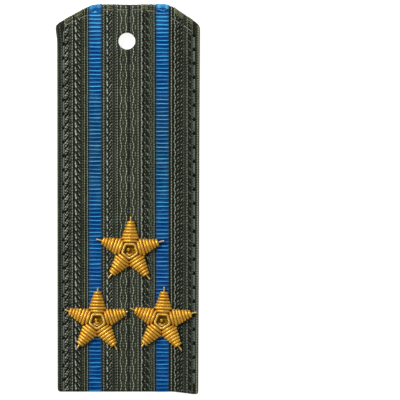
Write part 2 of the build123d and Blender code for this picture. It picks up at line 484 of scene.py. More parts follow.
def makeWeaveGroup():
    # plain weave in the board's own plane: threads over and under each other, each painted lighter along its
    # crown and darker where it dips beside its neighbours, as painted shade
    group, given, end = makeGroup("plainWeave", [
        ("Thread Pitch", "Float", 0.45), ("Light", "Color", (0.1, 0.1, 0.08, 1)),
        ("Dark", "Color", (0.01, 0.01, 0.008, 1)),
    ], [("Color", "Color"), ("Height", "Float")])
    place = position(group)
    x, y, _ = splitVector(group, place)
    rate = mathNode(group, "DIVIDE", turn / 2 / mm, given["Thread Pitch"])
    a, b = (mathNode(group, "SINE", times(group, side, rate)) for side in (x, y))
    warp, weft = (mathNode(group, "ABSOLUTE", wave) for wave in (a, b))
    over = mathNode(group, "GREATER_THAN", times(group, a, b), 0.0)
    under = minus(group, 1.0, over)
    chosen = plus(group, times(group, warp, over), times(group, weft, under))
    fluff = noise(group, place, 2600.0, 3.0)
    # the crowns of the threads are painted light and the dips between them dark: painted shade
    level = plus(group, times(group, chosen, 0.7), times(group, fluff, 0.4))
    feedAll(group, end, {"Color": mixColour(group, level, given["Dark"], given["Light"]), "Height": level})
    return group


def makeDustGroup():
    # a little pale dust and handling wear on what faces up
    group, given, end = makeGroup("dustAndWear", [
        ("Color", "Color", (0.5, 0.5, 0.5, 1)), ("Dust", "Color", (0.42, 0.44, 0.36, 1)),
        ("Amount", "Float", 0.12), ("Scale", "Float", 700.0),
    ], [("Color", "Color"), ("Mask", "Float")])
    surface = node(group, "NewGeometry").outputs
    speck = offCentre(group, noise(group, surface["Position"], given["Scale"], 4.0, 0.65), 0.48, 4.0)
    upward = mathNode(group, "MAXIMUM", splitVector(group, surface["Normal"])[2], 0.0)
    mask = clamp(group, times(group, times(group, upward, speck), given["Amount"]))
    feedAll(group, end, {"Color": mixColour(group, mask, given["Color"], given["Dust"]), "Mask": mask})
    return group


def makeWireGroup():
    # gilt wire wound into purl: fine turns, with tarnish between them and rubbed crests
    group, given, end = makeGroup("woundWire", [
        ("Bright", "Color", (0.9, 0.5, 0.1, 1)), ("Tarnish", "Color", (0.3, 0.12, 0.01, 1)),
        ("Wire Pitch", "Float", 0.22), ("Tone Spread", "Float", 0.4),
    ], [("Color", "Color"), ("Roughness", "Float"), ("Height", "Float")])
    run, around, tone = strandMarks(group)
    phase = minus(group, mathNode(group, "DIVIDE", run, given["Wire Pitch"]), around)
    wire = halfWave(group, times(group, phase, turn), "COSINE")
    place = position(group)
    spots, broad = noise(group, place, 900.0, 4.0, 0.6), noise(group, place, 260.0)
    level = clamp(group, plus(group, times(group, wire, 0.3), times(group, spots, 0.5),
                              offCentre(group, tone, 0.5, given["Tone Spread"]),
                              offCentre(group, broad, 0.3, 0.6)))
    feedAll(group, end, {"Color": mixColour(group, level, given["Tarnish"], given["Bright"]),
                         "Roughness": mathNode(group, "MULTIPLY_ADD", level, -0.18, 0.46), "Height": wire})
    return group


cavityGroup = makeCavityGroup()
plyGroup = makePlyGroup()
weaveGroup = makeWeaveGroup()
dustGroup = makeDustGroup()
wireGroup = makeWireGroup()


def newMaterial(name, roughness, metallic=0.0, specular=0.5, sheen=0.0):
    material = bpy.data.materials.new(name)
    material.use_nodes = True
    shader = material.node_tree.nodes["Principled BSDF"]
    feedAll(material.node_tree, shader, {"Roughness": roughness, "Metallic": metallic,
                                         "Specular IOR Level": specular, "Sheen Weight": sheen})
    if metallic > 0:
        shader.inputs["Specular Tint"].default_value = (1.0, 0.8, 0.42, 1)
    return material, material.node_tree, shader


def useGroup(tree, group, values):
    made = node(tree, "Group", node_tree=group)
    feedAll(tree, made, values)
    return made.outputs


def darkenBetween(tree, colour, strength, deep, start=0.12, end=0.27):
    # the colour sinks into shade and dirt where strands meet
    mask = useGroup(tree, cavityGroup, {"Start": start, "End": end})["Mask"]
    return mixColour(tree, times(tree, mask, strength), colour, deep)


def bumpFrom(tree, shader, height, strength, distance):
    bump = node(tree, "Bump", {"Strength": strength, "Distance": distance, "Height": height})
    feedAll(tree, shader, {"Normal": bump.outputs["Normal"]})


def dusted(tree, shader, colour, amount):
    made = useGroup(tree, dustGroup, {"Color": colour, "Amount": amount})
    feedAll(tree, shader, {"Base Color": made["Color"]})


yarnFinish = {
    "roughness": 0.42,
    "specular": 0.12,
    "toneSpread": 0.5,
    "betweenStrands": 0.8,
    "bump": 0.55,
    "bumpDepth": 0.00008,
}


def yarnMaterial(name, light, dark, pitch, depth, dust=0.04):
    material, tree, shader = newMaterial(name, yarnFinish["roughness"], specular=yarnFinish["specular"])
    yarn = useGroup(tree, plyGroup, {"Light": (*light, 1), "Dark": (*dark, 1), "Ply Pitch": pitch,
                                     "Ply Shade": depth, "Tone Spread": yarnFinish["toneSpread"]})
    deep = (*(c * 0.5 for c in dark), 1)
    dusted(tree, shader, darkenBetween(tree, yarn["Color"], yarnFinish["betweenStrands"], deep), dust)
    bumpFrom(tree, shader, yarn["Height"], yarnFinish["bump"], yarnFinish["bumpDepth"])
    return material


def weaveMaterial(name, light, dark, pitch, specular=0.25, dust=0.1):
    material, tree, shader = newMaterial(name, 0.8, specular=specular, sheen=0.1)
    weave = useGroup(tree, weaveGroup, {"Thread Pitch": pitch, "Light": (*light, 1), "Dark": (*dark, 1)})
    dusted(tree, shader, weave["Color"], dust)
    bumpFrom(tree, shader, weave["Height"], 0.6, 0.00012)
    return material


def purlMaterial(name, bright, tarnish):
    material, tree, shader = newMaterial(name, 0.42, metallic=0.6, specular=0.3)
    wire = useGroup(tree, wireGroup, {"Bright": (*bright, 1), "Tarnish": (*tarnish, 1)})
    # the sides of each purl, where it meets its neighbours, are painted a deep amber and only a band along its
    # crest keeps the bright gold: painted shade, and the gold's painted reflection of itself
    deep = (tarnish[0] * 0.72, tarnish[1] * 0.58, 0.0, 1)
    colour = darkenBetween(tree, wire["Color"], 0.95, deep, 0.09, 0.25)
    feedAll(tree, shader, {"Base Color": colour, "Roughness": wire["Roughness"]})
    bumpFrom(tree, shader, wire["Height"], 0.35, 0.00005)
    return material


# Each yarn: the material's name, its light and dark colour, the pitch of its twist and the depth of the
# painted shade between its plies.
yarns = {
    "pale": ("pale_yarn", (0.465, 0.503, 0.412), (0.026, 0.032, 0.019), 1.02, 0.85),
    "paleFloat": ("pale_float_yarn", (0.515, 0.556, 0.453), (0.02, 0.026, 0.014), 0.95, 0.72),
    "grey": ("grey_yarn", (0.34, 0.372, 0.3), (0.016, 0.021, 0.013), 1.02, 0.85),
    "greyFloat": ("grey_float_yarn", (0.34, 0.37, 0.3), (0.014, 0.019, 0.011), 0.95, 0.75),
    "moss": ("moss_yarn", (0.16, 0.186, 0.132), (0.01, 0.014, 0.007), 1.0, 0.9),
    "fold": ("fold_yarn", (0.245, 0.255, 0.135), (0.02, 0.023, 0.009), 0.9, 0.8),
    "sea_grey": ("sea_grey_yarn", (0.25, 0.36, 0.36), (0.045, 0.07, 0.07), 0.86, 0.75),
    "dark": ("dark_yarn", (0.05, 0.06, 0.037), (0.006, 0.008, 0.004), 0.9, 0.6),
    "green": ("green_yarn", (0.077, 0.1, 0.065), (0.009, 0.013, 0.007), 0.9, 0.6),
    "olive": ("olive_yarn", (0.095, 0.11, 0.055), (0.011, 0.014, 0.005), 0.9, 0.6),
    "straw": ("straw_yarn", (0.47, 0.485, 0.31), (0.09, 0.095, 0.045), 0.9, 0.7),
    "tan": ("tan_yarn", (0.31, 0.31, 0.17), (0.036, 0.036, 0.015), 0.9, 0.7),
    "leftStitch": ("stitch_thread", (0.3, 0.318, 0.322), (0.1, 0.11, 0.115), 0.6, 0.4),
    "rightStitch": ("sea_stitch_thread", (0.22, 0.272, 0.252), (0.066, 0.09, 0.082), 0.6, 0.4),
    "topStitch": ("top_stitch_thread", (0.38, 0.385, 0.3), (0.12, 0.12, 0.09), 0.8, 0.4),
    "black": ("black_thread_and_painted_shade", (0.009, 0.01, 0.009), (0.001, 0.001, 0.001), 0.6, 0.4, 0.0),
}
tones = {tone: yarnMaterial(*values) for tone, values in yarns.items()}
groundMaterial = weaveMaterial("cover_ground", (0.022, 0.026, 0.016), (0.003, 0.004, 0.002), 0.4,
                               specular=0.05, dust=0.02)
print("materials ready")


# The woven ground of the cover, under its cords.
ground = {
    "columnStep": 0.5,
    "rowStep": 0.8,
    "lowY": -68.2,
    "highY": 68.0,
    "sideBend": 2.0,     # columns bend to the outline over this much, and rows over the next two
    "endBend": 4.0,
    "topBend": 14.0,
    "holeCalm": (7, 5),  # rows stay straight this far from the button hole
    "thickness": 0.85,
    "channels": [(-11.4335, 5.16), (12.4165, 5.16)],  # middle and width of each stripe's channel
    "channelTop": 2.72,
    "channelEdge": 0.02,
    "holeBlock": 2.6,
    "holeReach": 6.0,
    "rollAngles": (20, 40, 60, 75, 90),
    "wallShares": (0.35, 0.7, 1.0),
}


def channelDrop(x):
    drop = board["groundTop"] - ground["channelTop"]
    deep = np.zeros(np.shape(x))
    for middle, width in ground["channels"]:
        deep = np.where(np.abs(x - middle) < width / 2, drop, deep)
    return deep


def gridLines(low, high, step, extra):
    # evenly spread lines with some given ones among them
    lines = list(np.arange(low, high + step / 2, (high - low) / round((high - low) / step)))
    for value in extra:
        lines = [v for v in lines if abs(v - value) > step * 0.45]
    return np.array(sorted(lines + list(extra)))


def groundRows():
    # rows and columns keep their places inside and bend to the outline near it
    roll, block = board["roll"], [ground["holeBlock"] * k / 4 for k in range(-4, 5)]
    edges = [middle + side * width / 2 + aside for middle, width in ground["channels"]
             for side in (-1, 1) for aside in (-ground["channelEdge"], ground["channelEdge"])]
    lowX, highX = leftX(0.0) + roll, rightX(0.0) - roll
    columns = gridLines(lowX, highX, ground["columnStep"], edges + [board["holeX"] + b for b in block])
    lowY, highY = ground["lowY"], ground["highY"]
    rows = gridLines(lowY, highY, ground["rowStep"], [board["holeY"] + b for b in block])
    x, y = np.meshgrid(columns, rows)
    calmX, calmY = ground["holeCalm"]
    nearLeft = np.clip((lowX + ground["sideBend"] - columns) / ground["sideBend"], 0, 1)
    nearRight = np.clip((columns - highX + ground["sideBend"]) / ground["sideBend"], 0, 1)
    nearEnd = np.clip((lowY + ground["endBend"] - rows) / ground["endBend"], 0, 1)[:, None]
    bent = np.clip((rows - highY + ground["topBend"]) / ground["topBend"], 0, 1)[:, None]
    for _ in range(3):
        toLeft, toRight = leftX(y) + roll - lowX, rightX(y) - roll - highX
        x = columns + toLeft * nearLeft + toRight * nearRight
        _, ny = topNormal(x)
        toTop, toEnd = topY(x) - roll / ny - highY, endY(x) - lowY
        calm = (np.abs(x - board["holeX"]) < calmX) & (rows[:, None] < board["holeY"] + calmY)
        y = rows[:, None] + toTop * np.where(calm, 0, bent) + toEnd * nearEnd
    return x, y


def makeGround():
    roll, hole = board["roll"], (board["holeX"], board["holeY"])
    x, y = groundRows()
    # the grid opens round the button hole
    dx, dy = x - hole[0], y - hole[1]
    square, radius = np.maximum(np.abs(dx), np.abs(dy)), np.hypot(dx, dy)
    share = np.clip((square - ground["holeBlock"]) / (ground["holeReach"] - ground["holeBlock"]), 0, 1)
    rounded = board["holeRadius"] * square / ground["holeBlock"] / np.maximum(radius, 1e-6)
    pull = np.where(square < ground["holeReach"], rounded * (1 - share) + share, 1.0)
    x, y = hole[0] + dx * pull, hole[1] + dy * pull
    z = board["groundTop"] + reliefAt(x, y) - channelDrop(x)
    inside = square < ground["holeBlock"] - 0.01
    skip = inside[:-1, :-1] | inside[1:, :-1] | inside[:-1, 1:] | inside[1:, 1:]
    bundle = newBundle()
    surface = np.stack([x, y, z], -1)
    index = addGrid(bundle, surface, skip=skip)
    # the rim: rolled over, then straight down, from the left of the open end round to its right
    n = len(x)
    rim = np.concatenate([index[:, 0], index[-1, 1:-1], index[::-1, -1]])
    flat = surface.reshape(-1, 3)[rim]
    outer = flat[:, :2].copy()
    outer[:n, 0] = leftX(flat[:n, 1])
    outer[-n:, 0] = rightX(flat[-n:, 1])
    outer[n:-n] += np.stack(topNormal(flat[n:-n, 0]), 1) * roll
    outer[n - 1] = leftCurve[-1] + [board["skin"], -board["skin"]]
    outer[-n] = rightCurve[-1] - board["skin"]
    rings = []
    for angle in ground["rollAngles"]:
        a = math.radians(angle)
        spot = flat[:, :2] + (outer - flat[:, :2]) * math.sin(a)
        rings.append(np.column_stack([spot, flat[:, 2] - roll * (1 - math.cos(a))]))
    wallTop = rings[-1][:, 2]
    for share in ground["wallShares"]:
        rings.append(np.column_stack([outer, wallTop * (1 - share) + board["wallFoot"] * share]))
    last = rim
    for ring in rings:
        fresh = addPoints(bundle, ring)
        bundle["faces"] += np.stack([last[:-1], fresh[:-1], fresh[1:], last[1:]], -1).tolist()
        last = fresh
    piece = makePiece("cover_ground", bundle, groundMaterial, ["galloon"])
    keepFacing(piece)
    if piece.data.polygons[0].normal.z < 0:
        piece.data.flip_normals()
    thicken(piece, ground["thickness"])
    return piece


coverGround = makeGround()
print("cover ground:", countFaces([coverGround]), "faces")


# Cords that run the whole length of the cover.
def pulse(y, middle, repeat):
    # 1 at each middle, 0 half way between
    return 0.5 + 0.5 * math.cos(turn * (y - middle) / repeat)


def sway(y, middle, repeat):
    return math.cos(turn * (y - middle) / repeat)


def crescent(y, middle, repeat):
    # a row of arcs: 1 at each middle, with a cusp half way between
    return abs(math.cos(math.pi * (y - middle) / repeat))


# One repeat along the board, of the twill and of the chain.
period, chainPeriod = 2.819, 5.638
cord = {
    "step": 0.55,
    "lift": 0.1,
    "endGap": 0.03,          # it begins this far inside the open end
    "footLift": 0.05,        # its other end stays clear of what the board lies on
    "turnedHalfWidth": 0.2,  # no thicker than this once it is over the edge
    "turnedHalfHeight": 0.18,
    "holeGap": 3.0,          # cords this far from the hole's middle are pushed aside by it
    "holePush": 0.22,
    "holePushReach": (1.1, 2.6),  # how soon that fades, across and along the board
    # straight cords: yarn, middle across the board, half width, half height
    "straight": [
        ("pale", -19.56, 0.18, 0.24), ("dark", -19.1, 0.12, 0.12), ("grey", -22.36, 0.1, 0.12),
        ("green", -16.2, 0.17, 0.18), ("moss", -15.86, 0.15, 0.2), ("dark", -14.82, 0.14, 0.14),
        ("dark", -14.55, 0.12, 0.16), ("sea_grey", -14.18, 0.19, 0.24), ("grey", -8.52, 0.16, 0.22),
        ("moss", -8.1, 0.18, 0.2), ("dark", -7.7, 0.15, 0.12), ("moss", -5.3, 0.15, 0.14),
        ("dark", -4.95, 0.17, 0.15), ("green", -4.58, 0.17, 0.17), ("moss", -4.2, 0.16, 0.18),
        ("pale", -3.6, 0.18, 0.24), ("dark", -3.18, 0.15, 0.15), ("grey", 3.8, 0.19, 0.22),
        ("green", 4.27, 0.13, 0.12), ("green", 7.62, 0.15, 0.15), ("green", 8.33, 0.17, 0.12),
        ("olive", 8.98, 0.13, 0.16), ("sea_grey", 9.46, 0.19, 0.22), ("pale", 15.6, 0.165, 0.2),
        ("dark", 15.98, 0.14, 0.12), ("moss", 19.88, 0.15, 0.16), ("green", 20.25, 0.14, 0.14),
        ("green", 20.6, 0.14, 0.14), ("green", 22.72, 0.14, 0.13), ("moss", 23.04, 0.15, 0.13),
    ],
    # the lighter ones swell into beads
    "beads": {"pitch": 0.9, "least": 0.9, "more": 0.2, "step": 0.3},
    # cords that follow a side: yarn, way out from the foot of the roll on the top face, half width
    "sideLift": 0.08,
    "sideHalfHeight": 0.17,
    "sidePoints": 240,
    "sideTop": 61.9,         # where they end at the shoulders, diving into the turned cloth
    "tuckLength": 1.3,
    "tuckDepth": 0.5,
    "left": [
        ("dark", -0.5, 0.13), ("moss", -0.15, 0.2), ("dark", 0.2, 0.17), ("dark", 0.56, 0.19),
        ("olive", 0.95, 0.2), ("moss", 1.35, 0.2),
    ],
    "right": [("dark", 0.04, 0.13), ("olive", 0.42, 0.17), ("straw", 0.86, 0.21), ("olive", 1.3, 0.2)],
    # and further down both walls
    "walls": [
        ("olive", 1.76, 0.2), ("olive", 2.2, 0.2), ("dark", 2.62, 0.2), ("olive", 3.04, 0.2),
        ("dark", 3.42, 0.18),
    ],
    # shaped cords: yarn, middle, half width, half height, lift, step, how it sways and swells, tone
    "shaped": [
        ("grey", 4.96, 1.0, 0.85, 0.12, 0.28, (0.14, pulse, 21.54, period),
         (0.22, 0.1, pulse, 21.54, period), 0.75),
        ("moss", -7.3, 1.0, 0.85, 0.12, 0.28, (0.06, pulse, 21.3, period),
         (0.1, 0.06, pulse, 21.3, period), 0.75),
        # two cords that part and meet, so that small rings show between them
        ("moss", 7.95, 0.15, 0.17, 0.13, 0.28, (0.14, sway, 22.2, period),
         (1.15, -0.3, pulse, 22.2, period), 0.75),
        ("moss", 8.57, 0.15, 0.17, 0.13, 0.28, (-0.14, sway, 22.2, period),
         (1.15, -0.3, pulse, 22.2, period), 0.75),
        ("grey", 16.56, 0.25, 0.2375, 0.12, 0.28, (0.42, crescent, 21.88, period),
         (0.66, 0.34, crescent, 21.88, period), 0.85),
        ("tan", -15.24, 0.22, 0.209, 0.11, 0.3, None, (0.72, 0.28, pulse, 22.0, period), 0.6),
        ("grey", 21.17, 0.21, 0.1995, 0.11, 0.3, None, (0.72, 0.28, pulse, 21.1, period), 0.6),
        # the chain: three pale cords that sway against each other
        ("pale", -2.31, 0.16, 0.168, 0.12, 0.3, (0.25, sway, 24.22, chainPeriod),
         (0.74, 0.46, pulse, 24.22, chainPeriod), 0.6),
        ("pale", -0.55, 0.17, 0.1785, 0.12, 0.3, (-0.25, sway, 24.22, chainPeriod),
         (0.74, 0.46, pulse, 21.4, chainPeriod), 0.6),
        ("pale", 1.97, 0.17, 0.1785, 0.12, 0.3, (0.28, sway, 24.22, chainPeriod),
         (0.74, 0.46, pulse, 24.22, chainPeriod), 0.6),
    ],
    # low cords fill the ground under the chain, but for a gap
    "low": {"from": -2.86, "to": 3.5, "pitch": 0.37, "gap": (0.2, 0.95), "moss": 11,
            "shape": (0.18, 0.11, -0.03, 0.6)},  # half width, half height, lift and step
    # over the fold the twill bands close up into plain cords
    "foldBands": [(-22.2, -19.8), (-18.6, -16.4), (-7.1, -5.4), (4.9, 7.4), (16.6, 19.8), (21.6, 22.9)],
    "foldPitch": 0.43,
    "foldLength": 1.9,
    "foldHalfWidth": 0.19,
    "foldHalfHeight": 0.17,
    "foldStep": 0.4,
    "yarns": ["pale", "grey", "moss", "dark", "green", "olive", "tan", "sea_grey", "straw", "fold"],
}


def coverRun(xAt, lift, step, low=None, high=None):
    # xAt gives x for each y; the run goes over the top edge unless high stops it
    roll, start = board["roll"], float(xAt(60.0))
    nx, ny = (float(v) for v in topNormal(start))
    low = float(endY(start)) + cord["endGap"] if low is None else low
    flatEnd = float(topY(start) - roll / ny) if high is None else high
    y = np.linspace(low, flatEnd, max(3, round((flatEnd - low) / step)) + 1)
    points, normals = coverPoint(np.array([float(xAt(v)) for v in y]), y, lift)
    if high is not None:
        return points, normals
    last = points[-1]
    overPoints, overNormals = [], []
    for angle in range(15, 91, 15):
        s, c = math.sin(math.radians(angle)), math.cos(math.radians(angle))
        overPoints.append((last[0], y[-1] + (roll / ny + lift) * s, last[2] - (roll + lift) * (1 - c)))
        overNormals.append((nx * s, ny * s, c))
    foot, edge = board["wallFoot"] + cord["footLift"], overPoints[-1]
    for share in (0.3, 0.6, 1.0):
        overPoints.append((edge[0], edge[1], edge[2] * (1 - share) + foot * share))
        overNormals.append((nx, ny, 0.0))
    return np.concatenate([points, overPoints]), np.concatenate([normals, overNormals])


def aroundHole(x, y):
    # a cord beside the button hole is pushed a little aside by it
    dx, (across, along) = x - board["holeX"], cord["holePushReach"]
    push = np.exp(-(((np.abs(dx) - cord["holeGap"]) / across) ** 2))
    push = push * np.exp(-((y - board["holeY"]) / along) ** 2) * cord["holePush"]
    return x + np.where(np.abs(dx) > cord["holeGap"] - 0.1, np.sign(dx) * push, 0.0)


def layCord(bundle, x, halfWidth, halfHeight, lift, step, swaying=None, swelling=None, tone=None):
    # one cord along the whole board, cut where the button hole is
    tone = dice.uniform(0.2, 0.8) if tone is None else tone
    drift = dice.uniform(0, 100)

    def xAt(y):
        own = 0.03 * math.sin(0.31 * y + drift) + 0.02 * math.sin(0.83 * y + 2 * drift)
        aside = swaying[0] * swaying[1](y, *swaying[2:]) if swaying else 0.0
        return float(aroundHole(x + aside + own, y))

    gap = board["holeRadius"] ** 2 - (x - board["holeX"]) ** 2
    runs = [(None, None)]
    if gap > 0.04:
        half = math.sqrt(gap) + 0.02
        runs = [(None, board["holeY"] - half), (board["holeY"] + half, None)]
    for low, high in runs:
        points, normals = coverRun(xAt, lift, step, low, high)
        y = points[:, 1]
        swell = np.ones(len(y))
        if swelling:
            least, more, shape, *where = swelling
            swell = np.array([least + more * shape(v, *where) for v in y])
        uneven = 1 + 0.07 * np.sin(1.9 * y + drift) * np.sin(0.47 * y + 3 * drift)
        over = normals[:, 2] < 0.99
        wide, tall = halfWidth * swell, halfHeight * swell
        wide = np.where(over, np.minimum(wide, cord["turnedHalfWidth"]), wide * uneven)
        tall = np.where(over, np.minimum(tall, cord["turnedHalfHeight"]), tall)
        addTube(bundle, points, normals, wide, tall, tone)


def sideCord(bundle, side, out, halfWidth, tone):
    # out is the way from the flat face, over the roll and down the wall
    roll = board["roll"]
    angle = min(max(out / roll, 0), turn / 4)
    inward = roll * (1 - math.sin(angle)) - min(out, 0)
    low = float(endY(side * 24.5)) + cord["endGap"]
    shoulder = leftCurve[-1] if side < 0 else rightCurve[-1]
    high = min(float(topY(shoulder[0] - side * (inward + 0.7))) - 0.45, cord["sideTop"] + inward * 0.3)
    y = np.linspace(low, high, cord["sidePoints"])
    x = (leftX(y) if side < 0 else rightX(y)) - side * inward
    z = board["groundTop"] - roll * (1 - math.cos(angle)) - max(0, out - roll * turn / 4)
    tuck = np.clip(1 - (high - y) / cord["tuckLength"], 0, 1) ** 2
    lift = cord["sideLift"] - cord["tuckDepth"] * tuck
    points = np.stack([x + side * lift * math.sin(angle), y, z + lift * math.cos(angle)], -1)
    points[:, 2] += reliefAt(x, y) * math.cos(angle)
    normals = np.tile([side * math.sin(angle), 0, math.cos(angle)], (len(y), 1))
    thinner = 1 - 0.5 * tuck
    addTube(bundle, points, normals, halfWidth * thinner, cord["sideHalfHeight"] * thinner, tone)


def makeCords():
    bundles = {tone: newBundle() for tone in cord["yarns"]}
    beads = cord["beads"]
    for tone, x, halfWidth, halfHeight in cord["straight"]:
        swelling, step = None, cord["step"]
        if tone in ("pale", "grey"):
            swelling = (beads["least"], beads["more"], pulse, dice.uniform(0, 1), beads["pitch"])
            step = beads["step"]
        layCord(bundles[tone], x, halfWidth, halfHeight, cord["lift"], step, swelling=swelling)
    low = cord["low"]
    for k, x in enumerate(np.arange(low["from"], low["to"], low["pitch"])):
        if not low["gap"][0] < x < low["gap"][1]:
            tone = "moss" if k == low["moss"] else ("green", "olive")[k % 2]
            layCord(bundles[tone], x, *low["shape"])
    for side, name in ((-1, "left"), (1, "right")):
        for tone, out, halfWidth in cord[name] + cord["walls"]:
            sideCord(bundles[tone], side, out, halfWidth, dice.uniform(0.2, 0.8))
    for first, last in cord["foldBands"]:
        for x in np.arange(first, last, cord["foldPitch"]):
            start = float(topY(x)) - cord["foldLength"] - dice.uniform(0, 0.4)
            points, normals = coverRun(lambda y, s=x: s, cord["lift"], cord["foldStep"], start)
            addTube(bundles["fold"], points, normals, cord["foldHalfWidth"], cord["foldHalfHeight"],
                    dice.uniform(0.1, 0.9))
    for tone, *values in cord["shaped"]:
        layCord(bundles[tone], *values)
    return [makePiece(f"{t}_cords", b, tones[t]) for t, b in bundles.items()]


cords = makeCords()
print("cords:", countFaces(cords), "faces")


# Floats: threads that rise out of the ground, lie over it and dive back.
floating = {
    "halfHeight": 0.15,
    "sink": 0.16,
    "holeGap": 0.35,   # they leave the button hole free, and end below the turned top and at the open end
    "topGap": 1.7,
    "endGap": 0.1,
    "reach": 70,       # the bands run this far both ways along the board, before they are cut off
    "along": 0.06,     # how unevenly they lie, and how their size and tone vary
    "aside": 0.04,
    "sizes": (0.88, 1.1),
    "tone": 0.25,
    "yarns": ["pale", "grey", "moss", "tan", "black"],
}

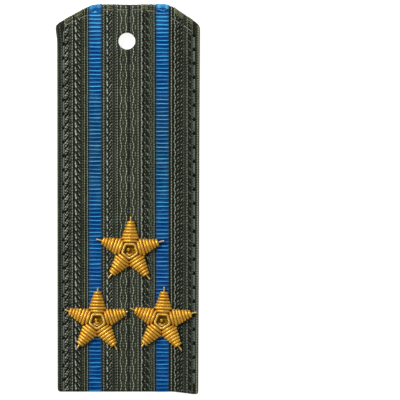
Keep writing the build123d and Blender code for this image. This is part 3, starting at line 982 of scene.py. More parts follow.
# Each band: yarn, y of one repeat, repeat, and its floats, each with its points
# (x, rise along the board, half width), its height and its tone.
# the black floats are painted shade, laid where the weave opens into dark slits and dots
twillBands = [
    # outer twill of the left field, in broad rising ribs with black floats between them, painted as the shade
    # of deep slits
    ("pale", 22.0, period, [
        ([(-22.32, 0.1, 0.18), (-21.95, 0.68, 0.28), (-21.35, 1.54, 0.24),
          (-20.8, 2.34, 0.16)], 0.32, 0.28),
        ([(-22.28, -0.92, 0.16), (-21.8, -0.16, 0.26), (-21.2, 0.77, 0.23),
          (-20.65, 1.58, 0.15)], 0.28, -0.12)]),
    ("black", 22.0, period, [
        ([(-22.18, -1.72, 0.13), (-21.88, -1.22, 0.22), (-21.5, -0.62, 0.22),
          (-21.1, 0.02, 0.12)], 0.36, 0.5)]),
    ("moss", 22.0, period, [
        ([(-20.85, 0.9, 0.14), (-20.4, 1.45, 0.17), (-19.95, 2.05, 0.17)], 0.2, 0.2),
        ([(-20.95, -0.5, 0.14), (-20.45, 0.1, 0.17), (-19.95, 0.75, 0.17)], 0.18, 0.15),
        ([(-20.75, 0.35, 0.12), (-20.35, 0.85, 0.15), (-19.95, 1.35, 0.15)], 0.18, 0.1)]),
    # leaf-shaped floats and falling ribs beside them
    ("pale", 22.0, period, [
        ([(-18.54, 0.1, 0.16), (-18.44, -0.6, 0.26), (-18.28, -1.4, 0.36), (-18.14, -2.0, 0.4),
          (-18.1, -2.45, 0.24)], 0.36, 0.6),
        ([(-17.56, 0.26, 0.12), (-17.32, -0.08, 0.19), (-17.08, -0.42, 0.12),
          (-16.84, -0.78, 0.23), (-16.62, -1.08, 0.12)], 0.3, 0.6)]),
    ("moss", 22.0, period, [
        ([(-17.95, -0.95, 0.14), (-17.5, -1.5, 0.2), (-16.95, -2.2, 0.2),
          (-16.5, -2.75, 0.14)], 0.18, 0.4)]),
    ("black", 22.0, period, [
        ([(-17.86, 0.12, 0.12), (-17.76, -0.2, 0.18), (-17.58, -0.55, 0.17),
          (-17.34, -0.95, 0.22), (-17.04, -1.5, 0.15)], 0.26, 0.5),
        ([(-16.18, 0.95, 0.1), (-16.18, 0.66, 0.19), (-16.18, 0.37, 0.1)], 0.3, 0.5)]),
    # herringbone left of the middle
    ("pale", 22.43, period, [
        ([(-7.34, 0.25, 0.14), (-7.2, -0.4, 0.27), (-7.08, -1.2, 0.31), (-7.0, -1.85, 0.24),
          (-6.98, -2.15, 0.12)], 0.34, 0.65),
        ([(-6.72, -2.95, 0.15), (-6.38, -2.5, 0.21), (-5.9, -1.7, 0.17),
          (-5.52, -1.1, 0.13)], 0.28, 0.3)]),
    ("moss", 22.43, period, [
        ([(-6.45, -1.1, 0.12), (-6.0, -0.4, 0.2), (-5.52, 0.34, 0.15)], 0.22, 0.9)]),
    ("black", 22.43, period, [
        ([(-7.05, 0.78, 0.16), (-6.8, 0.58, 0.27), (-6.5, 0.34, 0.16)], 0.36, 0.5),
        ([(-6.26, -1.8, 0.1), (-6.08, -1.43, 0.2), (-5.92, -1.06, 0.1)], 0.24, 0.5)]),
    # herringbone right of the middle
    ("pale", 22.84, period, [
        ([(5.12, -0.35, 0.2), (5.26, -1.0, 0.28), (5.3, -1.8, 0.28), (5.26, -2.35, 0.16)], 0.32, 0.1)]),
    ("pale", 22.84, period, [
        ([(6.1, 0.36, 0.15), (6.2, 0.06, 0.23), (6.28, -0.24, 0.15)], 0.32, 0.75),
        ([(7.16, -0.8, 0.15), (7.26, -1.22, 0.23), (7.34, -1.66, 0.15)], 0.32, 0.6)]),
    ("tan", 22.84, period, [
        ([(6.42, -0.56, 0.13), (6.66, -0.84, 0.22), (6.9, -1.12, 0.13)], 0.28, 0.8)]),
    ("moss", 22.84, period, [
        ([(5.9, -0.75, 0.12), (6.4, -1.7, 0.17), (6.95, -2.45, 0.12)], 0.2, -0.1)]),
    ("black", 22.84, period, [
        ([(5.22, 0.34, 0.16), (5.44, 0.06, 0.26), (5.6, -0.18, 0.16)], 0.38, 0.5),
        ([(6.74, -1.2, 0.1), (6.86, -1.46, 0.19), (6.98, -1.74, 0.1)], 0.28, 0.5),
        ([(7.36, 0.1, 0.1), (7.44, -0.2, 0.19), (7.52, -0.5, 0.1)], 0.28, 0.5)]),
    ("black", 22.1, period / 2, [
        ([(9.14, 0.2, 0.09), (9.17, 0.0, 0.15), (9.14, -0.2, 0.09)], 0.28, 0.5)]),
    # dotted herringbone of the right field
    ("grey", 21.88, period, [
        ([(17.55, -2.1, 0.12), (17.85, -1.68, 0.25), (18.08, -1.3, 0.13)], 0.32, 0.9),
        ([(18.75, -0.25, 0.13), (19.1, 0.25, 0.2), (19.5, 0.8, 0.2), (19.66, 1.05, 0.12)], 0.26, 0.3)]),
    ("moss", 21.88, period, [
        ([(17.5, -0.65, 0.13), (18.05, 0.05, 0.21), (18.6, 0.8, 0.15)], 0.22, 0.6),
        ([(18.5, -1.75, 0.13), (19.0, -1.05, 0.2), (19.55, -0.3, 0.15)], 0.22, 0.3)]),
    ("black", 21.88, period, [
        ([(17.02, 1.8, 0.12), (17.1, 1.55, 0.22), (17.2, 1.3, 0.12)], 0.26, 0.5),
        ([(18.4, -0.5, 0.1), (18.47, -0.28, 0.19), (18.52, -0.05, 0.1)], 0.24, 0.5),
        ([(20.42, -0.3, 0.1), (20.47, -0.55, 0.18), (20.5, -0.8, 0.1)], 0.26, 0.5)]),
    # narrow falling floats beside the right seam
    ("moss", 22.3, period, [
        ([(21.6, 0.35, 0.13), (22.0, 0.0, 0.2), (22.4, -0.5, 0.18), (22.7, -0.95, 0.12)], 0.24, 0.7),
        ([(21.6, -1.05, 0.13), (22.05, -1.6, 0.18), (22.5, -2.2, 0.13)], 0.2, -0.2)]),
    ("black", 22.3, period, [
        ([(22.36, -0.98, 0.09), (22.46, -1.2, 0.17), (22.56, -1.42, 0.09)], 0.26, 0.5),
        ([(22.06, 1.2, 0.09), (22.16, 0.96, 0.16), (22.26, 0.72, 0.09)], 0.26, 0.5)]),
    # single threads inside the chain
    ("grey", 21.4, chainPeriod, [
        ([(-1.45, -0.95, 0.1), (-1.45, 0, 0.17), (-1.45, 0.95, 0.1)], 0.24, 0.5),
        ([(2.83, -1.05, 0.1), (2.83, 0, 0.17), (2.83, 1.05, 0.1)], 0.24, 0.5)]),
    ("grey", 24.22, chainPeriod, [
        ([(0.5, -1.25, 0.1), (0.02, -0.4, 0.14), (0.02, 0.4, 0.14), (0.5, 1.25, 0.1)], 0.22, 0.0),
        ([(0.75, -1.35, 0.1), (1.1, -0.4, 0.17), (1.1, 0.4, 0.17), (0.75, 1.35, 0.1)], 0.24, 0.5)]),
]


def respaced(points, samples):
    # x, y and half width, spread evenly along a float
    reach, run = np.linspace(0, 1, samples), np.linspace(0, 1, len(points))
    return np.stack([np.interp(reach, run, column) for column in np.array(points, float).T])


def addFloat(bundle, points, height, tone):
    x, y, halfWidth = respaced(points, 9)
    x[1:-1] = (x[:-2] + 2 * x[1:-1] + x[2:]) / 4
    arch = np.sqrt(np.clip(1 - np.linspace(-1, 1, 9) ** 4, 0, 1))
    place, normals = coverPoint(x, y, 0.0)
    place[:, 2] += height * arch - floating["sink"]
    halfHeight = floating["halfHeight"] * (0.5 + 0.5 * arch)
    addTube(bundle, place, normals, halfWidth * (0.6 + 0.4 * arch), halfHeight, tone)


def keptPart(points):
    # what is left of a float beside the hole and at the ends, if anything
    x, y, halfWidth = fine = respaced(points, 13)
    away = np.hypot(x - board["holeX"], y - board["holeY"])
    if away.min() < board["holeRadius"] + floating["holeGap"]:
        return None
    inside = (y < topY(x) - floating["topGap"]) & (y > endY(x) + floating["endGap"])
    if inside.all():
        return points
    return fine.T[inside] if inside.sum() > 3 else None


def makeFloats():
    bundles = {tone: newBundle() for tone in floating["yarns"]}
    halfLength = floating["reach"]
    for tone, start, repeat, shapes in twillBands:
        first = math.ceil((-halfLength - start) / repeat)
        for k in range(first, first + math.ceil(2 * halfLength / repeat) + 1):
            for shape, height, own in shapes:
                shift = start + k * repeat + within(floating["along"])
                aside, size = within(floating["aside"]), dice.uniform(*floating["sizes"])
                shade = own + within(floating["tone"])
                points = keptPart([(x + aside, shift + rise, half * size) for x, rise, half in shape])
                if points is not None:
                    addFloat(bundles[tone], points, height * size, shade)
    # a float shows less of its twist than a cord does
    return [makePiece(f"{t}_floats", b, tones.get(t + "Float", tones[t]))
            for t, b in bundles.items()]


floats = makeFloats()
print("floats:", countFaces(floats), "faces")


# The stitches along both sides and the top.
def makeStitches():
    names = {"left": "left_seam_stitches", "right": "right_seam_stitches", "top": "top_stitches"}
    bundles, locks = {where: newBundle() for where in names}, newBundle()
    spans = []
    for where in names:
        ends = pointsAlong(stitchLine[where], stitchLine["pitch"])
        spans += [(where, a, b) for a, b in zip(ends, ends[1:])]
    gap, reach, across = stitchLine["endGap"], np.linspace(0, 1, 13), np.linspace(-1, 1, 7)
    hookFrom = stitchLine["hookFrom"]
    bend = stitchLine["hook"] * np.clip((reach - hookFrom) / (1 - hookFrom), 0, 1) ** 2
    dive = np.clip(np.minimum(reach, 1 - reach) / stitchLine["diveShare"], 0, 1)
    rise = stitchLine["rise"] * np.sqrt(1 - (1 - dive) ** 2) - stitchLine["buried"]
    for where, a, b in spans:
        # the first stitch is cut off with the cloth at the open end
        cutOff = a[1] < float(endY(a[0])) + 0.3
        if cutOff:
            a = np.array([a[0], float(endY(a[0])) - stitchLine["cutLength"]])
        way = (b - a) / np.linalg.norm(b - a)
        aside = np.array([way[1], -way[0]]) * (1 if way[1] > 0 else -1)
        spot = a + way * gap + np.outer(reach, b - a - way * 2 * gap)
        spot += np.outer(bend, aside) + within(stitchLine["wobble"])
        place, normals = coverPoint(*spot.T, 0.0)
        place[:, 2] += rise
        if where == "top":
            for middle, width in ground["channels"]:
                place[:, 2] -= stitchLine["ribbonSink"] * (np.abs(place[:, 0] - middle) < width / 2)
        halfWidth, halfHeight = stitchLine["halfWidth"][where], stitchLine["halfHeight"][where]
        addTube(bundles[where], place, normals, halfWidth, halfHeight, dice.uniform(*stitchLine["tones"]), 8)
        if where == "top" or cutOff:
            continue
        # the dark thread that locks each stitch lies across it; its black also paints the shade of the needle
        # hole under it
        lock = a + np.outer(across, [stitchLine["lockHalfLength"], 0.0]) + [stitchLine["lockAside"], 0.0]
        lock = lock + np.outer(stitchLine["lockSlant"] * np.sin(2 * across), way)
        place, normals = coverPoint(*lock.T, 0.0)
        place[:, 2] += stitchLine["lockRise"] - stitchLine["lockRound"] * across ** 2
        halfWidth = stitchLine["lockHalfWidth"] * np.sqrt(1.02 - across ** 2)
        tone = dice.uniform(*stitchLine["lockTones"])
        addTube(locks, place, normals, halfWidth, stitchLine["lockHalfHeight"], tone, 8)
        # and its tail runs back beside it
        tail = np.linspace(stitchLine["lockTail"][where], 0, len(stitchLine["tailRise"]))
        tail = a + np.outer(tail, [1.0, 0.0]) + np.outer(stitchLine["tailSlant"], way)
        place, normals = coverPoint(*tail.T, 0.0)
        place[:, 2] += stitchLine["tailRise"]
        addTube(locks, place, normals, stitchLine["tailHalfWidth"], stitchLine["tailHalfHeight"],
                dice.uniform(*stitchLine["lockTones"]))
    seams = [makePiece(names[w], b, tones[w + "Stitch"]) for w, b in bundles.items()]
    return seams + [makePiece("stitch_locks", locks, tones["black"])]


stitches = makeStitches()
print("stitches ready")


# The two blue ribbed stripes, turned down over the top edge.
stripe = {
    "middles": {"left": -11.4335, "right": 12.4165},
    "firstRib": {"left": 0.856, "right": 0.3},
    "seeds": {"left": 11, "right": 23},
    "width": 4.96,
    "thickness": 0.16,
    "ribPitch": 1.4,
    "ribHeight": 0.34,
    "base": 2.86,
    "perRib": 10,
    "columns": 30,
    "warpPitch": 0.21,
    "shineSharpness": 7.0,
    # the painted highlights shade towards this light blue
    "blueHighlight": (0.165, 0.57, 1.0, 1),
    "blueDark": (0.0, 0.041, 0.21, 1),
    "fadeMiddle": 0.018,     # the ribbon is most faded here, in metres along the board
    "fadeReach": 0.022,
    "fadedTint": (1.0, 1.0, 0.72, 1),
    "freshTint": (0.62, 0.98, 1.0, 1),
    "fluff": (0.04, 0.06, 0.034, 1),   # the selvedges are mixed towards this dark green
    "fold": 0.14,
    "crumpled": 2.2,         # it is crumpled over this much before the turn
    "nearTurn": (11, 6),     # its painted highlights grow lighter from this far before the turn, over this much
    "brighter": {"left": 0.44, "right": 0.2},   # how much wider the painted highlight on each rib is there
    "rimHighlight": {"left": 0.9, "right": 0.98},    # the turned edge is painted with a pale highlight
    "rimReach": {"left": -0.1, "right": 0.3},
    # its creases: how fast they run across and along, share of the seed, height and sharpness
    "creases": [(2.9, -1.5, 1, 1.0, 1.9), (1.3, 2.1, 2, 0.95, 2.3), (5.1, -1.1, 3, 0.85, 2.2),
                (3.7, 4.3, 1, 0.85, 2.6)],
    "creaseHeight": 0.24,
    "creaseShine": 0.84,
    "turnedCreaseHeight": 0.26,
    "turnAngles": range(8, 91, 6),
    "wallShares": (0.2, 0.4, 0.6, 0.8, 1.0),
    "endGap": 0.02,
    "footGap": 0.05,
    "crowding": 1.25,        # its threads are spread closer towards the selvedges
    "ribSharpness": 1.35,
    "crumpledWobble": 0.3,
    "crumpledFlat": 0.75,    # how much of the ribs goes where it is crumpled
    "selvedge": 0.07,        # share of the half width that bends down at each side
    "selvedgeDrop": 0.3,
    # the tone of the blue, and how much lighter it is painted near the turn
    "tone": 0.22,
    "nearTone": 0.1,
}


def makeStripeMaterial():
    material, tree, shader = newMaterial("blue_rep", 0.5, specular=0.02)
    _, crest, tone = strandMarks(tree)
    place = position(tree)
    x, y, _ = splitVector(tree, place)
    # fine warp yarns over the thick weft
    warp = halfWave(tree, times(tree, x, turn / stripe["warpPitch"] / mm))
    stretched = combine(tree, times(tree, x, 5200.0), times(tree, y, 700.0), 0.0)
    fibre, patch = noise(tree, stretched, 1.0, 3.0, 0.6), noise(tree, place, 260.0)
    # the crest mark paints highlights on the ribs, the creases and the turned rim, and the warp wave paints
    # each fine warp yarn a little lighter on its crown; the light blue is the colour of these painted
    # highlights
    paintedShine = mathNode(tree, "POWER", crest, stripe["shineSharpness"])
    level = plus(tree, times(tree, paintedShine, 0.85), offCentre(tree, fibre, 0.45, 0.3),
                 offCentre(tree, warp, 0.5, 0.06), offCentre(tree, patch, 0.5, 0.3),
                 minus(tree, tone, 0.215))
    colour = mixColour(tree, clamp(tree, level), stripe["blueDark"], stripe["blueHighlight"])
    away = mathNode(tree, "DIVIDE", minus(tree, y, stripe["fadeMiddle"]), stripe["fadeReach"])
    fade = mathNode(tree, "EXPONENT", times(tree, times(tree, away, away), -1.0))
    fade = times(tree, fade, mathNode(tree, "MULTIPLY_ADD", patch, 0.8, 0.5))
    tint = mixColour(tree, fade, stripe["freshTint"], stripe["fadedTint"])
    colour = mixColour(tree, 1.0, colour, tint, "MULTIPLY")
    # how far aside of the nearer stripe's middle
    left, right = stripe["middles"]["left"] * mm, stripe["middles"]["right"] * mm
    aside = mathNode(tree, "ABSOLUTE", minus(tree, x, (left + right) / 2))
    aside = mathNode(tree, "ABSOLUTE", minus(tree, aside, (right - left) / 2))
    selvedge = node(tree, "MapRange", {0: aside, 1: 1.5 * mm, 2: 2.15 * mm, 3: 0.0, 4: 0.62}).outputs[0]
    # towards the selvedges the blue is mixed with a dark green, then given a trace of dust
    dusted(tree, shader, mixColour(tree, selvedge, colour, stripe["fluff"]), 0.002)
    bumpFrom(tree, shader, plus(tree, times(tree, warp, 0.7), fibre), 0.5, 0.00007)
    return material


stripeMaterial = makeStripeMaterial()


def creases(u, along, seed):
    # sharp ridges of a crumpled ribbon, from 0 to 1, across the stripe and along it
    *main, last = [height * (1 - np.abs(np.sin(a * u + b * along + part * seed))) ** sharpness
                   for a, b, part, height, sharpness in stripe["creases"]]
    patchy = 0.8 + 0.2 * np.sin(4.1 * u + 2.7 * along + seed)
    return np.maximum(np.maximum.reduce(main) * patchy, last)


def turnedPart(side, u, x, flatEnd, lastZ):
    # one thread of the stripe, over the edge and down the wall, with its marks, which paint a highlight on the
    # turned rim and on the crease ridges
    roll, top, foot = board["roll"], board["groundTop"], board["wallFoot"] + stripe["footGap"]
    seed, ny = stripe["seeds"][side], topNormal(x)[1]
    rim = stripe["rimHighlight"][side] * (0.95 + 0.05 * np.sin(5.3 * u + seed))
    points, marks = [], []
    for angle in stripe["turnAngles"]:
        a = math.radians(angle)
        s, c = math.sin(a), math.cos(a)
        height = (lastZ - top) * (1 - s * s) + stripe["fold"] * s * s
        ridge = float(creases(u, roll * a, seed))
        bump = stripe["turnedCreaseHeight"] * ridge * s
        points.append((x, flatEnd + (roll / ny + height + bump) * s,
                       top + height - (roll + height + bump) * (1 - c)))
        paintedShine = rim * min(1, (84 - angle) / 16)
        marks.append((0, max(min(1.05, 0.3 + stripe["creaseShine"] * ridge), paintedShine), 0.2))
    _, edgeY, edgeZ = points[-1]
    for share in stripe["wallShares"]:
        points.append((x, edgeY, edgeZ * (1 - share) + foot * share))
        marks.append((0, 0.5 + 0.4 * math.sin(9 * share), 0.3))
    return rim, points, marks


def makeStripe(side):
    middle, seed = stripe["middles"][side], stripe["seeds"][side]
    begin, over = stripe["nearTurn"]
    across = np.linspace(-1, 1, stripe["columns"])
    across = np.sign(across) * (1 - (1 - np.abs(across)) ** stripe["crowding"])
    step = stripe["ribPitch"] / stripe["perRib"]
    rows, marks = [], []
    for u in across:
        x = middle + u * stripe["width"] / 2
        low, flatEnd = float(endY(x)) + stripe["endGap"], float(topY(x) - board["roll"] / topNormal(x)[1])
        run = np.linspace(low, flatEnd, round((ground["highY"] - low) / step))
        # ribs lie square across the stripe, a little uneven, and crumple where it turns over the edge
        crumple = np.clip(run - flatEnd + stripe["crumpled"], 0, 1)
        wobble = 0.05 * np.sin(0.9 * run + seed) + 0.04 * np.sin(2.3 * u + 0.7 * run)
        wobble += crumple * stripe["crumpledWobble"] * np.sin(2.4 * u + seed + run)
        phase = (run + wobble - stripe["firstRib"][side]) / stripe["ribPitch"]
        near = np.clip((run - flatEnd + begin) / over, 0, 1)
        strength = 1 + 0.05 * np.sin(1.7 * np.floor(phase + 0.5) + seed) + 0.035 * run / 69 + 0.07 * near
        crest = (0.5 + 0.5 * np.cos(turn * phase)) ** stripe["ribSharpness"] * strength
        crest = crest * (1 - stripe["crumpledFlat"] * crumple)
        crease = creases(u, run - flatEnd, seed) * crumple
        edge = np.clip((1 - abs(u)) / stripe["selvedge"], 0, 1)
        z = stripe["base"] + stripe["ribHeight"] * crest * (0.55 + 0.45 * edge)
        z += 0.05 * crumple + stripe["creaseHeight"] * crease - stripe["selvedgeDrop"] * (1 - edge) ** 2
        rim, fold, foldMarks = turnedPart(side, u, x, flatEnd, z[-1])
        # the marks paint a highlight on each rib's crest, wider near the turn and dimmer towards the bent-down
        # selvedges, on the crease ridges and the crumpled part, and on the turned rim; the tone is painted
        # lighter near the turn
        lightness = crest ** (1 - stripe["brighter"][side] * near * (1 - crumple)) * (0.75 + 0.25 * edge)
        paintedShine = rim * np.clip((run - flatEnd + stripe["rimReach"][side]) / 0.25, 0, 1)
        shine = np.maximum(lightness + 0.2 * crumple + stripe["creaseShine"] * crease, paintedShine)
        tone = stripe["tone"] + stripe["nearTone"] * near * (1 - crumple)
        glow = np.stack([run, shine, tone], -1)
        rows.append(np.concatenate([np.stack([np.full(len(run), x), run, z], -1), fold]))
        marks.append(np.concatenate([glow, foldMarks]))
    length = min(len(r) for r in rows)
    points, tags = (np.stack([r[-length:] for r in lines], 1) for lines in (rows, marks))
    bundle = newBundle()
    addGrid(bundle, points, tags)
    piece = makePiece(f"blue_stripe_{side}_cloth", bundle, stripeMaterial,
                      [f"blue_stripe_{side}"])
    thicken(piece, stripe["thickness"])
    return piece


stripes = [makeStripe(side) for side in ("left", "right")]
print("stripes:", countFaces(stripes), "faces")


# The stiff base and the plain cloth on its back.
base = {
    # each layer: how far it is drawn in, its lower and upper face, and the rounding of its rim
    "core": {"inset": 0.95, "endGap": 0.12, "low": 0.22, "high": 1.84, "rounding": 0.12},
    "lining": {"inset": 0.45, "endGap": 0.1, "low": 0.05, "high": 0.2, "rounding": 0.06},
    "leftTop": 61.4,       # the sides end here under the shoulders
    "rightTop": 61.2,
    "cornerX": -24.0,      # the corners of the open end are found here
    "cornerY": -67.0,
    "points": {"side": 60, "end": 40, "top": 50},
    "rimShares": (0.3, 0.65, 1.0),  # rings of points between the rim and the hole
    "halfRounded": 0.35,
    "holeGap": 0.02,
    "card": (0.30, 0.24, 0.15),
    "cloth": (0.085, 0.095, 0.07),
    "stitchPitch": 2.4,
    "stitchInset": 0.15,
    "stitchEndGap": 0.6,
    "stitchLength": 0.8,
    "stitchSlant": 0.3,
    "stitchHalfWidth": 0.09,
    "stitchHalfHeight": 0.04,
}


def insetPlan(inset, endGap):
    # the plan drawn in from the sides and top, as one closed loop
    count, endLeft = base["points"], float(endY(base["cornerX"])) + endGap
    left = [(float(leftX(y)) + inset, y) for y in np.linspace(base["leftTop"], endLeft, count["side"])]
    endRight = float(rightX(base["cornerY"])) - inset
    end = [(x, float(endY(x)) + endGap) for x in np.linspace(left[-1][0], endRight, count["end"])]
    right = [(float(rightX(y)) - inset, y)
             for y in np.linspace(end[-1][1], base["rightTop"], count["side"])]
    top = [(x, float(topY(x) - inset / topNormal(x)[1]))
           for x in np.linspace(right[-1][0], left[0][0], count["top"])[1:-1]]
    return left + end[1:] + right[1:] + top


def makeSlab(name, layer, material):
    # a flat layer with the button hole through it
    loop = np.array(insetPlan(layer["inset"], layer["endGap"]))
    hole = np.array([board["holeX"], board["holeY"]])
    # each point of the outline goes with the point of the hole that lies its way
    outward = loop - hole
    outward = outward / np.linalg.norm(outward, axis=1)[:, None]
    rim = hole + (board["holeRadius"] + base["holeGap"]) * outward
    low, high, rounding = layer["low"], layer["high"], layer["rounding"]

    def sheetAt(z, inward, share=0.0):
        flat = (loop - outward * inward) * (1 - share) + rim * share
        return np.column_stack([flat, np.full(len(loop), z)])

    half = rounding * base["halfRounded"]
    bends = [(0.0, rounding), (half, half), (rounding, 0.0)]
    sheets = [sheetAt(high - drop, inward) for drop, inward in bends]
    sheets += [sheetAt(low + drop, inward) for drop, inward in bends[::-1]]
    sheets += [sheetAt(low, rounding, share) for share in base["rimShares"]]
    sheets += [sheetAt(high, rounding, share) for share in base["rimShares"][::-1]]
    bundle = newBundle()
    addSkin(bundle, np.array(sheets), joined=True)
    piece = makePiece(name, bundle, material, ["backing"])
    keepFacing(piece)
    piece.data.shade_flat()  # its faces are flat up to the hole
    return piece


cardMaterial = weaveMaterial("board_core", base["card"], tuple(c * 0.5 for c in base["card"]), 0.18)
liningMaterial = weaveMaterial("back_lining", base["cloth"], tuple(c * 0.3 for c in base["cloth"]), 0.5)
core = makeSlab("board_core", base["core"], cardMaterial)
lining = makeSlab("back_lining", base["lining"], liningMaterial)


def makeLiningStitches():
    # small slanted stitches hold the lining to the cover's turned edge
    bundle = newBundle()
    loop = insetPlan(base["lining"]["inset"] + base["stitchInset"], base["stitchEndGap"])
    ends = pointsAlong(loop + loop[:1], base["stitchPitch"])
    reach = np.linspace(-0.5, 0.5, 5)
    height = 0.04 + 0.12 * (2 * reach) ** 4
    for a, b in zip(ends, ends[1:]):
        way = (b - a) / np.linalg.norm(b - a)
        slant = way * base["stitchLength"] - np.array([way[1], -way[0]]) * base["stitchSlant"]
        place = np.column_stack([a + np.outer(reach, slant), height])
        addTube(bundle, place, np.tile([0, 0, -1.0], (5, 1)), base["stitchHalfWidth"],
                base["stitchHalfHeight"], dice.uniform(0.2, 0.8))
    return makePiece("lining_stitches", bundle, tones["olive"])


liningStitches = makeLiningStitches()
print("base and lining ready")


# The three stars, of gold purl laid in rows over felt.
star = {
    "arms": 5,
    "innerRadius": 5.3,
    "reach": 10.5,
    "start": 2.95,
    "tipWidth": 2.3,
    "rows": 7,
    "armGap": 0.1,
    "ridge": 2.3,
    "ridgeTip": 1.5,
    "rowSide": 0.42,       # height of a row where it bends down at the arm's edge
    "rowCurve": 1.75,
    "foot": 3.52,
    "purlRadius": 0.545,
    "wirePitch": 0.24,
    "wireDepth": 0.06,
    "turnSamples": 3.2,
    "sides": 9,
    "ringApothem": 2.3,
    "ringRadius": 0.5,
    "ringCorner": 0.9,
    "ringHeight": 1.35,
    "fillApothem": 1.42,   # purls laid inside the ring, one within the other
    "fillStep": 0.72,
    "fillRadius": 0.38,
    "beadRadius": 0.3,
    "pinRadius": 0.3,
    "pinLength": 1.7,
    "pinGap": 0.08,
    "rowPoints": 25,
    "rowInside": 0.8,      # a row ends this share of its radius inside the arm's side
    "along": 0.05,         # how unevenly the rows lie, lean and rise
    "lean": 0.03,
    "rise": 0.05,
    "radii": (0.95, 1.03),
    "rowTones": (0.25, 0.8),
    "pinTones": (0.3, 0.8),
    "ringTone": 0.6,
    "fillTone": 0.5,
    "beadTone": 0.7,
    "feltBelow": 0.95,     # the felt lies this far under the ridge and inside the arm's sides
    "feltInside": 0.62,
    "feltCurve": 2.2,
    "feltFoot": 0.04,
    # the round cushion of felt under the middle: radius and height of each ring of its points
    "cushion": [(0.4, 0.24), (1.2, 0.24), (1.85, 0.3), (2.3, 0.66), (2.75, 0.72), (3.05, 1.0), (3.2, 0.85),
                (3.4, 0.5), (3.45, 0.01), (0.4, 0.005)],
}
# Each star: name, middle, tilt in degrees, lean in degrees and length of each pin as a share of the
# full length, place of the bead, and number of purls that fill the ring.
stars = [
    ("top", (0.8665, -18.166), 1.7, [(3, 0.95), (-2, 1.2), (4, 1.1), (-3, 1.1), (6, 1.2)], (-0.5, 0.4), 1),
    ("left", (-10.70, -43.066), 0.8, [(-2, 0.6), (3, 0.45), (-3, 1.05), (2, 0.85), (-4, 0.95)],
     (-0.4, 0.3), 2),
    ("right", (12.40, -43.066), 3.3, [(2, 0.9), (-3, 1.05), (3, 1.1), (4, 0.7), (-2, 1.05)], (-0.3, 0.2), 1),
]
goldPurl = purlMaterial("gold_purl", (1.0, 0.665, 0.115), (0.74, 0.29, 0.0))
ringPurl = purlMaterial("ring_purl", (0.94, 0.66, 0.18), (0.56, 0.27, 0.01))
palePurl = purlMaterial("pale_purl", (0.92, 0.68, 0.24), (0.60, 0.36, 0.06))
paddingMaterial = weaveMaterial("star_padding", (0.42, 0.2, 0.005), (0.03, 0.007, 0.0), 0.7,
                                specular=0.05, dust=0.0)
halfArm = math.pi / star["arms"]


def armHalfWidth(along):
    wedge = (along * math.sin(halfArm) - star["armGap"] / 2) / math.cos(halfArm)
    shoulder = star["innerRadius"] * math.cos(halfArm)
    shoulderHalf = star["innerRadius"] * math.sin(halfArm) - star["armGap"] / 2
    share = max(0, (along - shoulder) / (star["reach"] - shoulder))
    return min(wedge, shoulderHalf + share * (star["tipWidth"] / 2 - shoulderHalf))


def ridgeHeight(along):
    share = max(0.0, (along - star["start"]) / (star["reach"] - star["start"]))
    return star["ridge"] + share * (star["ridgeTip"] - star["ridge"])


def turned(points, middle, angle):
    # local points turned clockwise and moved to a star's middle, on its foot
    c, s = math.cos(angle), math.sin(angle)
    x, y = points[..., 0], points[..., 1]
    return np.stack([middle[0] + c * x + s * y, middle[1] - s * x + c * y, star["foot"] + points[..., 2]], -1)


def addPurl(bundle, points, middle, angle, radius, tone):
    # a purl laid along a path: a tube with its wire's turns in relief
    length = runLength(points)[-1]
    samples = max(10, int(length / star["wirePitch"] * star["turnSamples"]))
    path = turned(pointsAt(points, np.linspace(0, length, samples)), middle, angle)
    side = np.array([math.sin(angle), math.cos(angle), 0.0])
    normals = np.cross(side, np.gradient(path, axis=0))
    normals *= np.sign(normals[:, 2:3] + 1e-9)
    twist = (star["wirePitch"], star["wireDepth"])
    addTube(bundle, path, normals, radius, radius, tone, star["sides"], twist)


def addClosedPurl(bundle, points, middle, angle, radius, tone):
    # a purl joined end to end, with three points to each turn of its wire
    length = runLength(points)[-1]
    count = round(length / star["wirePitch"]) * 3
    loop = turned(pointsAt(points, np.linspace(0, length, count + 1)), middle, angle)[:-1]
    way = np.roll(loop, -1, 0) - np.roll(loop, 1, 0)
    way /= np.linalg.norm(way, axis=1)[:, None]
    across = np.cross(way, [0, 0, 1.0])
    spin = turn * np.arange(star["sides"]) / star["sides"] - turn / 4
    turns = np.arange(count) / 3
    size = radius * (1 + star["wireDepth"] * np.cos(turns[:, None] * turn - spin[None, :]))
    ring = loop[:, None] + across[:, None] * (size * np.cos(spin))[..., None]
    ring = ring + np.array([0, 0, 1.0]) * (size * np.sin(spin))[..., None]
    addSkin(bundle, ring, strandTags(turns * star["wirePitch"], star["sides"], tone), joined=True)


def rowPath(along, lean):
    # over the ridge from one side of the arm to the other, with both ends turned down
    ridge = ridgeHeight(along) - star["purlRadius"] + within(star["rise"])
    half, side = armHalfWidth(along) - star["purlRadius"] * star["rowInside"], star["rowSide"]
    t = np.linspace(-1, 1, star["rowPoints"])
    x = half * t
    z = side + (ridge - side) * (1 - np.abs(t) ** star["rowCurve"])
    foot = along - lean * half
    down = np.array([[-half - 0.04, foot, 0.12], [-half - 0.02, foot, 0.28]])
    up = down[::-1] * [-1, 1, 1]
    up[:, 1] = along + lean * half
    return np.concatenate([down, np.stack([x, along + lean * x, z], 1), up])


def ringCorners(apothem):
    # corners of the five-sided ring whose sides lie this far from a star's middle
    corner = apothem / math.cos(halfArm)
    return [(corner * math.sin(a), corner * math.cos(a)) for a in halfArm * np.arange(1, 10, 2)]


def ringPath():
    corners = ringCorners(star["ringApothem"])
    loop = [cornerArc(corners[i - 1], corners[i], corners[(i + 1) % 5], star["ringCorner"], 6)
            for i in range(5)]
    loop = np.concatenate(loop + [loop[0][:1]])
    return np.column_stack([loop, np.full(len(loop), star["ringHeight"])])


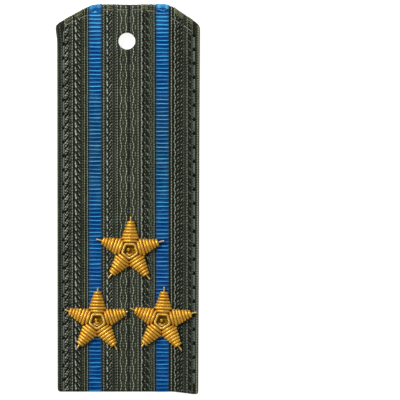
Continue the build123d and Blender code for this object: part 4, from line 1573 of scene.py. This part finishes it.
def fillPath(apothem):
    # a short purl laid inside the lower corner of the ring
    first, corner, last = (np.array(c) for c in ringCorners(apothem)[1:4])
    start, end = first * 0.62 + corner * 0.38, last * 0.62 + corner * 0.38
    line = np.concatenate([[start], cornerArc(start, corner, end, 0.45, 6), [end]])
    return np.column_stack([line, [0.5] + [0.95] * (len(line) - 2) + [0.5]])


def beadPath():
    # a short purl curled up on itself
    t = np.linspace(0, 1, 60)
    angle = turn * 1.55 * t
    radius = 0.36 - 0.1 * t
    return np.stack([radius * np.cos(angle), radius * np.sin(angle), 0.62 + 0.5 * t], 1)


def addArmFelt(bundle, middle, angle):
    # the firm felt under one arm, lower where it meets the middle
    sections, t = [], np.linspace(-1, 1, 9)
    for along in np.linspace(0.4, star["reach"] - 0.5, 12):
        ridge = ridgeHeight(along) - star["feltBelow"]
        if along < star["start"] - 0.6:
            ridge = 0.72 if along > 1.7 else 0.25
        half = max(0.2, armHalfWidth(along) - star["feltInside"])
        z = np.maximum(star["feltFoot"], ridge * (1 - np.abs(t) ** star["feltCurve"]) + 0.15)
        z[0] = z[-1] = star["feltFoot"]
        top = np.stack([half * t, np.full(9, along), z], 1)
        sections.append(np.concatenate([top, top[::-1] * [1, 1, 0]]))
    addSkin(bundle, turned(np.array(sections), middle, angle))


def addMiddleFelt(bundle, middle, angle):
    spokes = turn * np.arange(20) / 20
    loops = [np.stack([r * np.cos(spokes), r * np.sin(spokes), np.full(20, z)], 1)
             for r, z in star["cushion"]]
    addSkin(bundle, turned(np.array(loops), middle, angle))


def makeStar(name, middle, degrees, pins, knot, fills):
    tilt = math.radians(degrees)
    rows, ring, pinBundle, felt, bead = (newBundle() for _ in range(5))
    pitch = (star["reach"] - star["start"]) / star["rows"]
    for arm, (lean, share) in enumerate(pins):
        angle = tilt + turn / star["arms"] * arm
        for i in range(star["rows"]):
            along = star["start"] + (i + 0.5) * pitch + within(star["along"])
            path = rowPath(along, within(star["lean"]))
            radius = star["purlRadius"] * dice.uniform(*star["radii"])
            addPurl(rows, path, middle, angle, radius, dice.uniform(*star["rowTones"]))
        lean = math.radians(lean)
        at, armEnd = np.linspace(-0.25, share * star["pinLength"], 6), star["reach"] + star["pinGap"]
        height = np.full(6, star["pinRadius"] + 0.03)
        path = np.stack([-np.sin(lean) * at, armEnd + np.cos(lean) * at, height], 1)
        addPurl(pinBundle, path, middle, angle, star["pinRadius"], dice.uniform(*star["pinTones"]))
        addArmFelt(felt, middle, angle)
    addClosedPurl(ring, ringPath(), middle, tilt, star["ringRadius"], star["ringTone"])
    for k in range(fills):
        path = fillPath(star["fillApothem"] - star["fillStep"] * k)
        addPurl(ring, path, middle, tilt, star["fillRadius"], star["fillTone"])
    addMiddleFelt(felt, middle, tilt)
    addPurl(bead, beadPath() + [*knot, 0], middle, tilt, star["beadRadius"], star["beadTone"])
    arms, pinNodes = ([f"star_{name}_{part}_{i + 1}" for i in range(star["arms"])] for part in ("arm", "pin"))
    return [
        makePiece(f"{name}_star_rows", rows, goldPurl, arms),
        makePiece(f"{name}_star_ring", ring, ringPurl, [f"star_{name}_ring"]),
        makePiece(f"{name}_star_pins", pinBundle, palePurl, pinNodes),
        makePiece(f"{name}_star_bead", bead, goldPurl, [f"star_{name}_bead"]),
        makePiece(f"{name}_star_padding", felt, paddingMaterial),
    ]


starPieces = [piece for row in stars for piece in makeStar(*row)]
print("stars:", countFaces(starPieces), "faces")


# Floor, light and camera.
studio = {
    "floorSize": 2.0,
    "floorDrop": 0.0001,
    "floorTones": [(0.93, 0.93, 0.92, 1), (0.96, 0.96, 0.95, 1)],
    "floorGlow": 0.78,
    "skyStrength": 0.4,
    "keyPower": 5.4,
    "keySize": 0.16,
    "keyPlace": (-0.44, 0.42, 0.55),
    "cameraX": 0.02573,
    "cameraY": -0.00023,
    "cameraDistance": 1.2,
    "frameWidth": 0.14184,  # what 400 pixels show at the height of the cover
    "viewedHeight": 0.0034,
    "sensorWidth": 36,
}


def makeStudio():
    scene = bpy.context.scene
    half, low = studio["floorSize"] / 2, -studio["floorDrop"]
    corners = [(-half, -half, low), (half, -half, low), (half, half, low), (-half, half, low)]
    floorMesh = bpy.data.meshes.new("floor")
    floorMesh.from_pydata(corners, [], [(0, 1, 2, 3)])
    floor = bpy.data.objects.new("floor", floorMesh)
    scene.collection.objects.link(floor)
    material, tree, shader = newMaterial("pale_floor", 0.9, specular=0.1)
    tone = mixColour(tree, noise(tree, position(tree), 6.0, 3.0), *studio["floorTones"])
    feedAll(tree, shader, {"Base Color": tone, "Emission Color": (1, 1, 1, 1),
                           "Emission Strength": studio["floorGlow"]})
    floorMesh.materials.append(material)
    scene.world = bpy.data.worlds.new("studio")
    scene.world.use_nodes = True
    sky = scene.world.node_tree.nodes["Background"]
    sky.inputs["Color"].default_value = (1.0, 1.0, 1.0, 1)
    sky.inputs["Strength"].default_value = studio["skyStrength"]
    lamp = bpy.data.lights.new("key", "AREA")
    lamp.energy = studio["keyPower"]
    lamp.size = studio["keySize"]
    key = bpy.data.objects.new("key", lamp)
    key.location = studio["keyPlace"]
    key.rotation_mode = "QUATERNION"
    key.rotation_quaternion = Vector(studio["keyPlace"]).to_track_quat("Z", "Y")
    scene.collection.objects.link(key)
    lens = bpy.data.cameras.new("camera")
    lens.sensor_width = studio["sensorWidth"]
    lens.lens = studio["sensorWidth"] * studio["cameraDistance"] / studio["frameWidth"]
    lens.clip_end = 10
    camera = bpy.data.objects.new("camera", lens)
    camera.location = (studio["cameraX"], studio["cameraY"], studio["cameraDistance"] + studio["viewedHeight"])
    scene.collection.objects.link(camera)
    scene.camera = camera
    scene.view_settings.view_transform = "Standard"


makeStudio()
print("studio ready")
